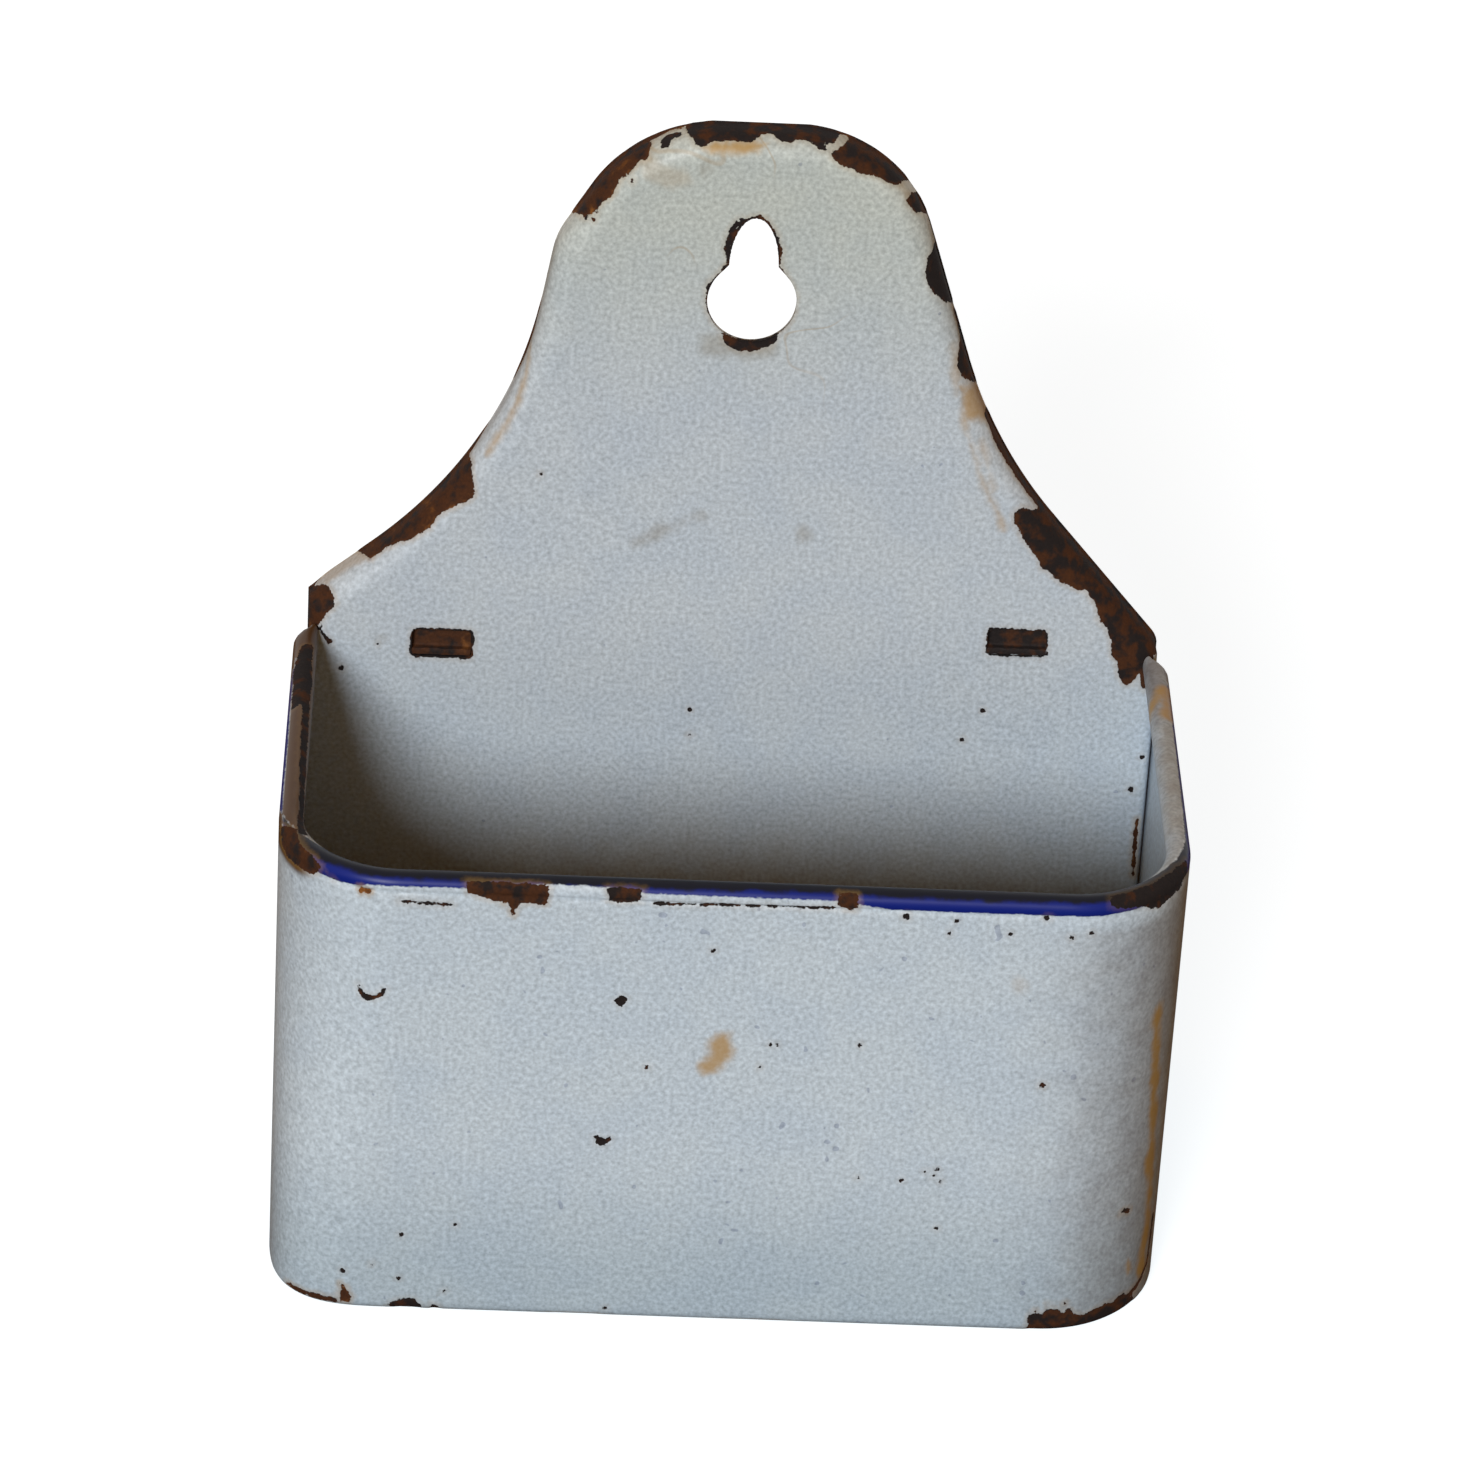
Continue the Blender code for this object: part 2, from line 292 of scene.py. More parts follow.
class Effects:
    """The shader groups that more than one material uses."""

    def __init__(self) -> None:
        """Build each group once."""
        self.ragged = self._ragged_edge()
        self.mottle = self._mottle()
        self.rust = self._rust()

    @staticmethod
    def _group(name: str, inputs: dict[str, float | None], *outputs: str) -> tuple:
        """Make an empty group.

        Args:
            name: What the group is called.
            inputs: Each input and its value, where None stands for coordinates.
            outputs: Each output, where Colour is a colour and the others are numbers.

        Returns:
            The group's graph, its inputs and its outputs.
        """
        tree = bpy.data.node_groups.new(name, "ShaderNodeTree")
        for label, value in inputs.items():
            kind = "NodeSocketVector" if value is None else "NodeSocketFloat"
            socket = tree.interface.new_socket(label, in_out="INPUT", socket_type=kind)
            if value is not None:
                socket.default_value = value
        for label in outputs:
            kind = "NodeSocketColor" if label == "Colour" else "NodeSocketFloat"
            tree.interface.new_socket(label, in_out="OUTPUT", socket_type=kind)
        graph = Graph(tree)
        return graph, graph.node("NodeGroupInput").outputs, graph.node("NodeGroupOutput").inputs

    def _ragged_edge(self) -> bpy.types.NodeTree:
        """Turn a distance in millimetres into a mask with a broken edge.

        Returns:
            The group, with the mask and the broken distance.
        """
        inputs = {"Place": None, "Distance": 0.0, "Reach": 0.6, "Softness": 0.06}
        graph, entry, result = self._group("ragged edge", inputs, "Mask", "Depth")
        coarse = graph.noise(entry["Place"], 1.4 * MM, 2.0)
        fine = graph.noise(entry["Place"], 0.35 * MM, 2.0)
        lumps = graph.math("MULTIPLY_ADD", fine, 0.5, coarse)
        lumps = graph.math("SUBTRACT", lumps, 0.75)
        swing = graph.math("MULTIPLY", entry["Reach"], 3.0)
        depth = graph.math("MULTIPLY_ADD", lumps, swing, entry["Distance"])
        share = graph.math("DIVIDE", depth, entry["Softness"])
        graph.feed(result["Mask"], graph.ease(share, -1.0, 1.0))
        graph.feed(result["Depth"], depth)
        return graph.tree

    def _mottle(self) -> bpy.types.NodeTree:
        """Make the glaze's uneven whiteness and its pin-prick specks.

        Returns:
            The group, with a tone round 0, cloudy patches, and specks.
        """
        graph, entry, result = self._group("glaze mottle", {"Place": None}, "Tone", "Clouds", "Specks")
        fine = graph.noise(entry["Place"], 0.55 * MM, 3.0)
        broad = graph.noise(entry["Place"], 9.0 * MM, 2.0)
        graph.feed(result["Tone"], graph.math("SUBTRACT", fine, 0.5))
        graph.feed(result["Clouds"], graph.ease(broad, 0.35, 0.7))
        speck = graph.noise(entry["Place"], 1.1 * MM, 0.0)
        rare = graph.noise(entry["Place"], 14.0 * MM, 1.0)
        sum_of_both = graph.math("MULTIPLY_ADD", rare, 0.35, speck)
        graph.feed(result["Specks"], graph.ease(sum_of_both, 1.03, 1.07))
        return graph.tree

    def _rust(self) -> bpy.types.NodeTree:
        """Make bare iron's colours, from blue-black scale to orange rust.

        Returns:
            The group, with the colour and a height for relief.
        """
        inputs = {"Place": None, "Rust": 0.5}
        graph, entry, result = self._group("bare iron", inputs, "Colour", "Height")
        patches = graph.noise(entry["Place"], 1.8 * MM, 4.0)
        grains = graph.noise(entry["Place"], 0.4 * MM, 3.0)
        share = graph.sway(patches, 2.2, entry["Rust"])
        brown = graph.ease(share, 0.1, 0.55)
        orange = graph.ease(share, 0.7, 1.35)
        scale = graph.blend(grains, linear(17, 13, 15), linear(34, 28, 26))
        crust = graph.blend(grains, linear(44, 24, 13), linear(72, 42, 22))
        bloom = graph.blend(grains, linear(96, 56, 22), linear(140, 92, 42))
        colour = graph.blend(orange, graph.blend(brown, scale, crust), bloom)
        graph.feed(result["Colour"], colour)
        graph.feed(result["Height"], graph.math("MULTIPLY_ADD", patches, 0.5, grains))
        return graph.tree


def new_material(name: str) -> bpy.types.Material:
    """Start a material with Blender's usual nodes."""
    material = bpy.data.materials.new(name)
    material.use_nodes = True
    return material


@dataclass(frozen=True)
class GlazeFinish:
    """Vitreous enamel on sheet steel, chipped and stained where the mesh says so."""

    name: str
    effects: Effects
    glaze: Colour = linear(177, 193, 206)
    cloud: Colour = linear(169, 187, 204)
    speck: Colour = linear(96, 108, 140)
    halo: Colour = linear(150, 122, 70)
    # Also the colour of the painted shade down the strip's right corner.
    stain: Colour = linear(158, 126, 62)
    smudge: Colour = linear(126, 120, 104)
    # Brown for grime, and also for painted shade inside the box and towards the right corner.
    grime_and_shade: Colour = linear(74, 52, 30)
    hairline: Colour = linear(150, 130, 95)
    blue: Colour = linear(14, 30, 112)
    # Painted shade: the colour that the rim's blue turns to along its top.
    blue_top_shade: Colour = linear(9, 9, 22)
    tone_strength: float = 1.0
    cloud_strength: float = 0.5
    speck_strength: float = 0.4
    smudge_strength: float = 0.42
    hairline_strength: float = 0.35
    gloss: float = 0.36
    specular: float = 0.16
    bare_roughness: float = 0.85
    chip_reach: float = 0.25
    halo_reach: float = 0.9
    border: float = 0.55
    chip_relief: float = 0.12 * MM
    # Painted shade: the glaze is darkened towards its foot.
    foot_shade_tint: Colour = (0.77, 0.81, 0.83)
    foot_shade_z: tuple[float, float] = (27 * MM, 3 * MM)
    head_tint: Colour = (1.0, 0.97, 0.84)
    head_z: tuple[float, float] = (92 * MM, 126 * MM)
    hairline_z: tuple[float, float] = (92 * MM, 108 * MM)
    # Heights where the painted shade on the rim's top sets in.
    blue_top_shade_z: tuple[float, float] = (62.0 * MM, 62.45 * MM)
    is_strip: bool = False

    def build(self) -> bpy.types.Material:
        """Make the material.

        Returns:
            The material, for any piece that carries the readings.
        """
        material = new_material(self.name)
        shader = material.node_tree.nodes["Principled BSDF"]
        layers = GlazeLayers(material.node_tree, self)
        layers.mottle()
        if self.is_strip:
            layers.blue_edge()
        else:
            layers.aged_head()
        layers.stains()
        bare, grains = layers.chips()
        layers.feed(shader.inputs["Base Color"], layers.colour)
        shader.inputs["Specular IOR Level"].default_value = self.specular
        roughness = layers.math("MULTIPLY_ADD", bare, self.bare_roughness - self.gloss, self.gloss)
        layers.feed(shader.inputs["Roughness"], roughness)
        layers.feed(shader.inputs["Normal"], layers.relief(bare, grains))
        return material


class GlazeLayers(Graph):
    """The node tree of a glaze, one layer laid over the other."""

    def __init__(self, tree: bpy.types.NodeTree, finish: GlazeFinish) -> None:
        """Read the coordinates and start with the plain glaze.

        Args:
            tree: The material's tree.
            finish: The glaze's colours and amounts.
        """
        super().__init__(tree)
        self.finish = finish
        self.colour: object = finish.glaze
        self.at = self.place()
        split = self.node("ShaderNodeSeparateXYZ")
        self.feed(split.inputs[0], self.at)
        self.high = split.outputs["Z"]

    def lay(self, share: object, colour: object, mode: str = "MIX") -> None:
        """Lay one more colour over the colour so far."""
        self.colour = self.blend(share, self.colour, colour, mode)

    def ragged(self, reading: Reading, reach: float, softness: float) -> bpy.types.bpy_prop_collection:
        """Break the edge of one of the mesh's distances."""
        values = {"Distance": self.attribute(reading), "Reach": reach, "Softness": softness}
        return self.call(self.finish.effects.ragged, Place=self.at, **values).outputs

    def mottle(self) -> None:
        """Make the glaze cloudy, specked, unevenly white, and darker towards its foot as painted shade."""
        finish = self.finish
        mottle = self.call(finish.effects.mottle, Place=self.at).outputs
        self.lay(self.math("MULTIPLY", mottle["Clouds"], finish.cloud_strength), finish.cloud)
        self.lay(self.math("MULTIPLY", mottle["Specks"], finish.speck_strength), finish.speck)
        scaled = self.node("ShaderNodeVectorMath", operation="SCALE")
        self.feed(scaled.inputs[0], self.colour)
        tone = self.math("MULTIPLY_ADD", mottle["Tone"], finish.tone_strength, 1.0)
        self.feed(scaled.inputs["Scale"], tone)
        self.colour = scaled.outputs[0]
        # Painted shade: darker towards the foot.
        self.lay(self.ease(self.high, *finish.foot_shade_z), finish.foot_shade_tint, "MULTIPLY")

    def blue_edge(self) -> None:
        """Lay the blue glaze over the rim, with painted shade that turns it nearly black along its top."""
        finish = self.finish
        edge = self.ragged(Reading.BLUE, reach=0.16, softness=0.14)
        wander = self.sway(self.noise(self.at, 2.2 * MM, 3.0), MM, self.high)
        # Painted shade along the rim's top.
        deep = self.ease(wander, *finish.blue_top_shade_z)
        self.lay(edge["Mask"], self.blend(deep, finish.blue, finish.blue_top_shade))

    def aged_head(self) -> None:
        """Let the head turn yellow, and run faint cracks through its glaze."""
        finish = self.finish
        self.lay(self.ease(self.high, *finish.head_z), finish.head_tint, "MULTIPLY")
        level = self.math("SUBTRACT", self.noise(self.at, 16 * MM, 1.5), 0.5)
        crack = self.ease(self.math("ABSOLUTE", level), 0.006, 0.001)
        region = self.ease(self.noise(self.at, 11 * MM, 0.0), 0.5, 0.62)
        region = self.math("MULTIPLY", region, self.ease(self.high, *finish.hairline_z))
        crack = self.math("MULTIPLY", crack, region)
        self.lay(self.math("MULTIPLY", crack, finish.hairline_strength), finish.hairline)

    def stains(self) -> None:
        """Lay grime and painted shade, smudges, and rust stains over the colour; one of the stains is
        painted shade too.
        """
        finish = self.finish
        cloudy = self.noise(self.at, 3.0 * MM, 4.0)
        # The grime share holds grime and also painted shade.
        share = self.attribute(Reading.GRIME_AND_SHADE)
        grime_and_shade = self.ease(self.sway(cloudy, 0.3, share), 0.05, 1.0)
        self.lay(self.math("MINIMUM", grime_and_shade, self.ease(share, 0.0, 0.1)), finish.grime_and_shade)
        smudge = self.ease(self.sway(cloudy, 3.0, self.attribute(Reading.SMUDGE)), -0.8, 1.2)
        self.lay(self.math("MULTIPLY", smudge, finish.smudge_strength), finish.smudge)
        stain = self.ease(self.sway(cloudy, 2.4, self.attribute(Reading.STAIN_AND_SHADE)), -0.7, 0.9)
        self.lay(self.math("MULTIPLY", stain, self.attribute(Reading.STAIN_AND_SHADE_DEPTH)), finish.stain)

    def chips(self) -> tuple[bpy.types.NodeSocket, bpy.types.NodeSocket]:
        """Lay bare iron in the chips, and rust in the glaze round them.

        Returns:
            The mask of bare iron and the height of its rust.
        """
        finish = self.finish
        chip = self.ragged(Reading.CHIP_AND_SHADE, reach=finish.chip_reach, softness=0.05)
        rusty = self.attribute(Reading.RUST)
        halo = self.ease(chip["Depth"], -finish.halo_reach, 0.0)
        self.lay(self.math("MULTIPLY", halo, self.math("MULTIPLY_ADD", rusty, 0.45, 0.1)), finish.halo)
        border = self.ease(chip["Depth"], finish.border, 0.0)
        rustier = self.math("MULTIPLY", rusty, self.math("MULTIPLY_ADD", border, 0.4, 1.0))
        iron = self.call(finish.effects.rust, Place=self.at, Rust=rustier).outputs
        self.lay(chip["Mask"], iron["Colour"])
        return chip["Mask"], iron["Height"]

    def relief(self, bare: object, grains: object) -> bpy.types.NodeSocket:
        """Sink the chips below the glaze, roughen them and let the glaze ripple.

        Args:
            bare: The mask of bare iron.
            grains: The height of the rust.

        Returns:
            The normal.
        """
        ripple = self.math("MULTIPLY", self.noise(self.at, 2.6 * MM, 2.0), 0.12)
        pits = self.math("MULTIPLY", self.math("MULTIPLY", grains, 0.5), bare)
        bump = self.node("ShaderNodeBump")
        bump.inputs["Strength"].default_value = 1.0
        bump.inputs["Distance"].default_value = self.finish.chip_relief
        self.feed(bump.inputs["Height"], self.math("ADD", self.math("SUBTRACT", ripple, bare), pits))
        return bump.outputs["Normal"]


@dataclass(frozen=True)
class IronFinish:
    """Bare iron, more or less rusted."""

    name: str
    effects: Effects
    rust: float
    metallic: float = 0.0
    roughness: float = 0.85
    specular: float = 0.2
    relief: float = 0.12 * MM

    def build(self) -> bpy.types.Material:
        """Make the material.

        Returns:
            The material.
        """
        material = new_material(self.name)
        graph = Graph(material.node_tree)
        shader = material.node_tree.nodes["Principled BSDF"]
        iron = graph.call(self.effects.rust, Place=graph.place(), Rust=self.rust).outputs
        graph.feed(shader.inputs["Base Color"], iron["Colour"])
        shader.inputs["Metallic"].default_value = self.metallic
        shader.inputs["Specular IOR Level"].default_value = self.specular
        grains = graph.math("MULTIPLY_ADD", iron["Height"], -0.1, self.roughness)
        graph.feed(shader.inputs["Roughness"], grains)
        bump = graph.node("ShaderNodeBump")
        bump.inputs["Distance"].default_value = self.relief
        graph.feed(bump.inputs["Height"], iron["Height"])
        graph.feed(shader.inputs["Normal"], bump.outputs["Normal"])
        return material


class Kind(Enum):
    """What a mark on the glaze is: the reading of its distance, and that of its strength."""

    # A few of the chips and stains are painted shade.
    CHIP_AND_SHADE = (Reading.CHIP_AND_SHADE, Reading.RUST)
    STAIN_AND_SHADE = (Reading.STAIN_AND_SHADE, Reading.STAIN_AND_SHADE_DEPTH)
    SMUDGE = (Reading.SMUDGE, None)


class Form(Enum):
    """How a mark's points are read."""

    AREA = "area"
    LINE = "line"
    SPOTS = "spots"


@dataclass(frozen=True)
class Mark:
    """A chip, a stain or a smudge, drawn in the photograph's pixels.

    An area is a closed outline. A line is as many pixels wide as its width says, and so is the
    round spot at each point of a group of spots. The strength is how rusty a chip is, or how dark
    a stain is.
    """

    name: str
    kind: Kind
    form: Form
    points: tuple[Pixel, ...]
    strength: float
    width: float = 0.0

    def is_small(self) -> bool:
        """Tell whether it is finer than the sheet's faces."""
        if self.form is not Form.AREA:
            return self.width <= 9
        across, down = np.ptp(np.array(self.points), axis=0)
        return min(across, down) <= 16

    def along(self, step: float) -> list[Vector]:
        """Give pixels all along its points.

        Args:
            step: How far apart they are.

        Returns:
            The pixels.
        """
        corners = [Vector(point) for point in self.points]
        if self.form is Form.SPOTS:
            return corners
        return densified(corners, step, self.form is Form.AREA)

    def depth(self, places: np.ndarray, points: np.ndarray) -> np.ndarray:
        """Measure how far inside the mark places are.

        Args:
            places: One row for each place of the chart.
            points: The mark's points on the chart.

        Returns:
            Millimetres, negative outside.
        """
        half = self.width / 2 / Skin.PIXELS_PER_MM
        if self.form is Form.AREA:
            return outline_depth(places, points) / MM
        if self.form is Form.LINE:
            return half - line_distance(places, points) / MM
        return half - np.min([np.linalg.norm(places - point, axis=1) for point in points], axis=0) / MM


def area(name: str, kind: Kind, strength: float, *points: Pixel) -> Mark:
    """Outline a mark by its corners."""
    return Mark(name, kind, Form.AREA, points, strength)


def line(name: str, kind: Kind, strength: float, width: float, *points: Pixel) -> Mark:
    """Draw a mark as a line of some width."""
    return Mark(name, kind, Form.LINE, points, strength, width)


def spots(name: str, kind: Kind, strength: float, width: float, *points: Pixel) -> Mark:
    """Dot round marks of one size."""
    return Mark(name, kind, Form.SPOTS, points, strength, width)


def line_distance(places: np.ndarray, points: np.ndarray) -> np.ndarray:
    """Measure how far places are from a line through points.

    Args:
        places: One row for each place.
        points: One row for each point of the line.

    Returns:
        One distance for each place.
    """
    gaps = []
    for start, end in zip(points, points[1:]):
        along = end - start
        share = np.clip((places - start) @ along / max(along @ along, 1e-12), 0, 1)
        gaps.append(np.linalg.norm(places - start - share[:, None] * along, axis=1))
    return np.min(gaps, axis=0)


def outline_depth(places: np.ndarray, points: np.ndarray) -> np.ndarray:
    """Measure how far inside a closed outline places are.

    Args:
        places: One row for each place.
        points: One row for each corner.

    Returns:
        One distance for each place, negative outside.
    """
    ring = np.vstack([points, points[:1]])
    inside = np.zeros(len(places), bool)
    for (x0, z0), (x1, z1) in zip(ring, ring[1:]):
        if z0 == z1:
            continue
        crosses = (places[:, 1] > z0) != (places[:, 1] > z1)
        inside ^= crosses & (places[:, 0] < x0 + (places[:, 1] - z0) * (x1 - x0) / (z1 - z0))
    return np.where(inside, 1, -1) * line_distance(places, ring)


class Skin:
    """The outer skin of a sheet, which wear is thrown on and every vertex is measured from."""

    PIXELS_PER_MM = 8.5
    FINE_STEP = 4.0
    FAR = -6.0

    def __init__(self, bm: bmesh.types.BMesh, camera: PhotoCamera, front_y: float) -> None:
        """Keep the skin's shape.

        Args:
            bm: The open sheet.
            camera: The camera that marks are seen through.
            front_y: The plane that a mark past the sheet's edge is thrown on.
        """
        self.tree = BVHTree.FromBMesh(bm)
        self.camera = camera
        self.front_y = front_y

    def chart(self, places: np.ndarray) -> np.ndarray:
        """Roll places on the skin out flat, in metres. Each kind of sheet has its own way."""
        raise NotImplementedError

    def chart_pixel(self, pixel: Pixel) -> np.ndarray:
        """Find where a pixel falls on the rolled-out skin.

        Args:
            pixel: Column and row in the photograph.

        Returns:
            Its two coordinates in metres.
        """
        start = self.camera.place()
        ray = self.camera.ray(pixel)
        hit = self.tree.ray_cast(start, ray)[0]
        if hit is None:
            return self.missed(start, ray)
        return self.chart(np.array([hit]))[0]

    def missed(self, start: Vector, ray: Vector) -> np.ndarray:
        """Carry the chart on to where a ray passes the sheet."""
        thrown = start + ray * (self.front_y - start.y) / ray.y
        return np.array((thrown.x, thrown.z))

    def hits(self, marks: tuple[Mark, ...]) -> list[Vector]:
        """Find the places of the small marks, where the sheet needs finer faces.

        Args:
            marks: All the sheet's marks.

        Returns:
            Places on the skin.
        """
        start = self.camera.place()
        pixels = [pixel for mark in marks if mark.is_small() for pixel in mark.along(self.FINE_STEP)]
        found = [self.tree.ray_cast(start, self.camera.ray(pixel))[0] for pixel in pixels]
        return [place for place in found if place is not None]

    def nearest(self, mesh: bpy.types.Mesh) -> tuple[np.ndarray, np.ndarray]:
        """Find the skin's place next to each vertex, and how deep under it the vertex lies."""
        found = [self.tree.find_nearest(vertex.co) for vertex in mesh.vertices]
        return np.array([item[0] for item in found]), np.array([item[3] for item in found])


class WearMap:
    """Collects the readings of one sheet's vertices and writes them on its mesh."""

    def __init__(self, skin: Skin, mesh: bpy.types.Mesh, thickness: float) -> None:
        """Measure the vertices.

        Args:
            skin: The sheet's outer skin.
            mesh: The finished sheet.
            thickness: The sheet's thickness.
        """
        self.skin = skin
        self.mesh = mesh
        self.places, self.depths = skin.nearest(mesh)
        self.charted = skin.chart(self.places)
        self.outer = self.depths < thickness * 0.6
        count = len(mesh.vertices)
        self.readings = {reading: np.full(count, Skin.FAR) for reading in Reading}
        for reading in (Reading.RUST, Reading.STAIN_AND_SHADE_DEPTH, Reading.GRIME_AND_SHADE):
            self.readings[reading] = np.zeros(count)

    def add(self, mark: Mark) -> None:
        """Add one mark's distance and strength.

        Args:
            mark: The mark to add.
        """
        points = np.array([self.skin.chart_pixel(pixel) for pixel in mark.points])
        distance = np.where(self.outer, mark.depth(self.charted, points), Skin.FAR)
        self.merge(*mark.kind.value, distance, mark.strength)
        LOG.debug("%s: up to %.2f mm deep", mark.name, distance.max())

    def merge(self, reading: Reading, strength: Reading | None, distance: np.ndarray, value: float) -> None:
        """Keep the larger of two distances, and with it the strength of the mark that it is from.

        Args:
            reading: Which distance.
            strength: Which reading takes the strength, if any.
            distance: The new distances.
            value: The strength.
        """
        nearer = distance > self.readings[reading]
        self.readings[reading] = np.maximum(distance, self.readings[reading])
        if strength is not None:
            self.readings[strength] = np.where(nearer, value, self.readings[strength])

    def edge_wear(self, distance: np.ndarray, least: float, most: float, rust: float) -> None:
        """Chip the sheet here and there along its free edge.

        Args:
            distance: Each vertex's distance to the edge, in millimetres.
            least: The narrowest that the chipped border is, below 0 where it stops.
            most: The widest that it is.
            rust: How rusty it is.
        """
        places = [vertex.co * 90 + Vector((3, 7, 1)) for vertex in self.mesh.vertices]
        swing = np.array([noise.noise(place) for place in places])
        width = least + (most - least) * np.clip(swing + 0.5, 0, 1)
        self.merge(Reading.CHIP_AND_SHADE, Reading.RUST, width - distance, rust)

    def sink_chips(self, depth: float) -> None:
        """Press the bare places in below the glaze.

        Args:
            depth: How deep, in metres.
        """
        share = smooth_share(self.readings[Reading.CHIP_AND_SHADE], -0.1, 0.5)
        for index in np.nonzero(share > 0)[0]:
            vertex = self.mesh.vertices[index]
            vertex.co -= vertex.normal * float(depth * share[index])

    def write(self) -> None:
        """Store every reading on the mesh."""
        for reading, values in self.readings.items():
            attribute = self.mesh.attributes.new(reading.value, "FLOAT", "POINT")
            attribute.data.foreach_set("value", np.clip(values, Skin.FAR, -Skin.FAR).astype(np.float32))


def arc(centre: Pixel, radius: float, start: float, end: float, steps: int) -> list[Vector]:
    """Give the points of an arc of so many pieces, both ends among them."""
    angles = [start + (end - start) * i / steps for i in range(steps + 1)]
    return [Vector((centre[0] + radius * math.cos(a), centre[1] + radius * math.sin(a))) for a in angles]


def filleted(corners: list[tuple[float, float, float]], step: float) -> list[Vector]:
    """Give a closed outline with an arc at each corner that has a fillet.

    Args:
        corners: Each corner's two coordinates and its fillet radius, counter-clockwise.
        step: How far apart the points of an arc are at most.

    Returns:
        The outline's points, with none along its straight runs.
    """
    points = []
    for i, (x, z, radius) in enumerate(corners):
        here = Vector((x, z))
        if not radius:
            points.append(here)
            continue
        back = (Vector(corners[i - 1][:2]) - here).normalized()
        ahead = (Vector(corners[(i + 1) % len(corners)][:2]) - here).normalized()
        half_angle = back.angle(ahead) / 2
        centre = here + (back + ahead).normalized() * radius / math.sin(half_angle)
        reach = here + back * radius / math.tan(half_angle) - centre
        sweep = reach.angle_signed(here + ahead * radius / math.tan(half_angle) - centre)
        steps = max(3, math.ceil(abs(sweep) * radius / step))
        turn = Matrix.Rotation(-sweep / steps, 2)
        for _ in range(steps + 1):
            points.append(centre + reach)
            reach = turn @ reach
    return points


def densified(points: list[Vector], step: float, closed: bool = True) -> list[Vector]:
    """Add points along the straight runs of an outline.

    Args:
        points: The outline's points.
        step: How far apart they are at most in the end.
        closed: Whether the last point is joined to the first.

    Returns:
        The points with those between them.
    """
    dense = []
    for start, end in zip(points, points[1:] + (points[:1] if closed else [])):
        count = max(1, math.ceil((end - start).length / step))
        dense += [start.lerp(end, i / count) for i in range(count)]
    return dense if closed else dense + points[-1:]


def face_towards(bm: bmesh.types.BMesh, direction: Vector) -> None:
    """Make the faces agree, and turn all over if they look away from a direction on the whole.

    Args:
        bm: The mesh.
        direction: The way to look.
    """
    bmesh.ops.recalc_face_normals(bm, faces=bm.faces)
    bm.normal_update()
    if sum(face.normal.dot(direction) * face.calc_area() for face in bm.faces) < 0:
        bmesh.ops.reverse_faces(bm, faces=bm.faces)
    bm.normal_update()


def only(kind: type, items: list) -> list:
    """Pick the vertices, edges or faces out of what an operator gives back."""
    return [item for item in items if isinstance(item, kind)]


def with_parts(faces: list[bmesh.types.BMFace]) -> list:
    """Give faces together with their edges and vertices."""
    edges = {edge for face in faces for edge in face.edges}
    verts = {vert for face in faces for vert in face.verts}
    return list(faces) + list(edges) + list(verts)


def pressed(
    bm: bmesh.types.BMesh,
    border: list[Vector],
    way: Vector,
    flange: float,
    flange_rings: int,
    radius: float,
    bend_rings: int,
) -> bmesh.types.BMFace:
    """Press a flat face with a flange all round, from the flange's free border on.

    Args:
        bm: The mesh to press it in.
        border: The points of the flange's free border.
        way: The way that the face looks.
        flange: How long the flange's straight part is.
        flange_rings: How many rings of faces that part has.
        radius: The radius of the bend between the flange and the face.
        bend_rings: How many rings of faces the bend has.

    Returns:
        The flat face.
    """
    floor = bm.faces.new([bm.verts.new(place) for place in border])
    for _ in range(flange_rings):
        result = bmesh.ops.extrude_face_region(bm, geom=[floor])
        moved = only(bmesh.types.BMVert, result["geom"])
        bmesh.ops.translate(bm, verts=moved, vec=way * (flange / flange_rings))
        bmesh.ops.delete(bm, geom=[floor], context="FACES_ONLY")
        floor = only(bmesh.types.BMFace, result["geom"])[0]
    floor.normal_update()
    if floor.normal.dot(way) < 0:
        floor.normal_flip()
    turn = math.pi / 2 / bend_rings
    for i in range(bend_rings):
        inwards = radius * (math.cos(i * turn) - math.cos((i + 1) * turn))
        ahead = radius * (math.sin((i + 1) * turn) - math.sin(i * turn))
        bmesh.ops.inset_region(bm, faces=[floor], thickness=inwards, depth=ahead, use_even_offset=True)
    return floor


def score(bm: bmesh.types.BMesh, faces: list, axis: int, step: float) -> list:
    """Cut flat faces into strips of one width.

    Args:
        bm: The mesh.
        faces: The faces to cut.
        axis: The axis that the cuts stand square to.
        step: The strips' width.

    Returns:
        All the faces that come of it.
    """
    normal = Vector((0, 0, 0))
    normal[axis] = 1
    spread = [vert.co[axis] for face in faces for vert in face.verts]
    done = []
    ahead = list(faces)
    for level in np.arange(math.ceil(min(spread) / step + 0.3) * step, max(spread) - 0.3 * step, step):
        result = bmesh.ops.bisect_plane(
            bm, geom=with_parts(ahead), dist=step / 100, plane_co=normal * float(level), plane_no=normal
        )
        ahead = []
        for face in only(bmesh.types.BMFace, result["geom"]):
            behind = face.calc_center_bounds()[axis] < level
            (done if behind else ahead).append(face)
    return done + ahead


def divide_runs(bm: bmesh.types.BMesh, step: float) -> None:
    """Divide the long straight stretches of a pressed edge, from its free border inwards.

    Args:
        bm: The mesh, whose bent edge is rings of quads.
        step: How long a piece of the border may be.
    """
    for start in [edge for edge in bm.edges if edge.is_boundary and edge.calc_length() > 1.5 * step]:
        rungs = [start]
        face = start.link_faces[0]
        while len(face.verts) == 4:
            loop = next(loop for loop in face.loops if loop.edge is rungs[-1])
            rungs.append(loop.link_loop_next.link_loop_next.edge)
            beyond = [other for other in rungs[-1].link_faces if other is not face]
            if not beyond:
                break
            face = beyond[0]
        cuts = math.ceil(start.calc_length() / step) - 1
        bmesh.ops.subdivide_edges(bm, edges=rungs, cuts=cuts)


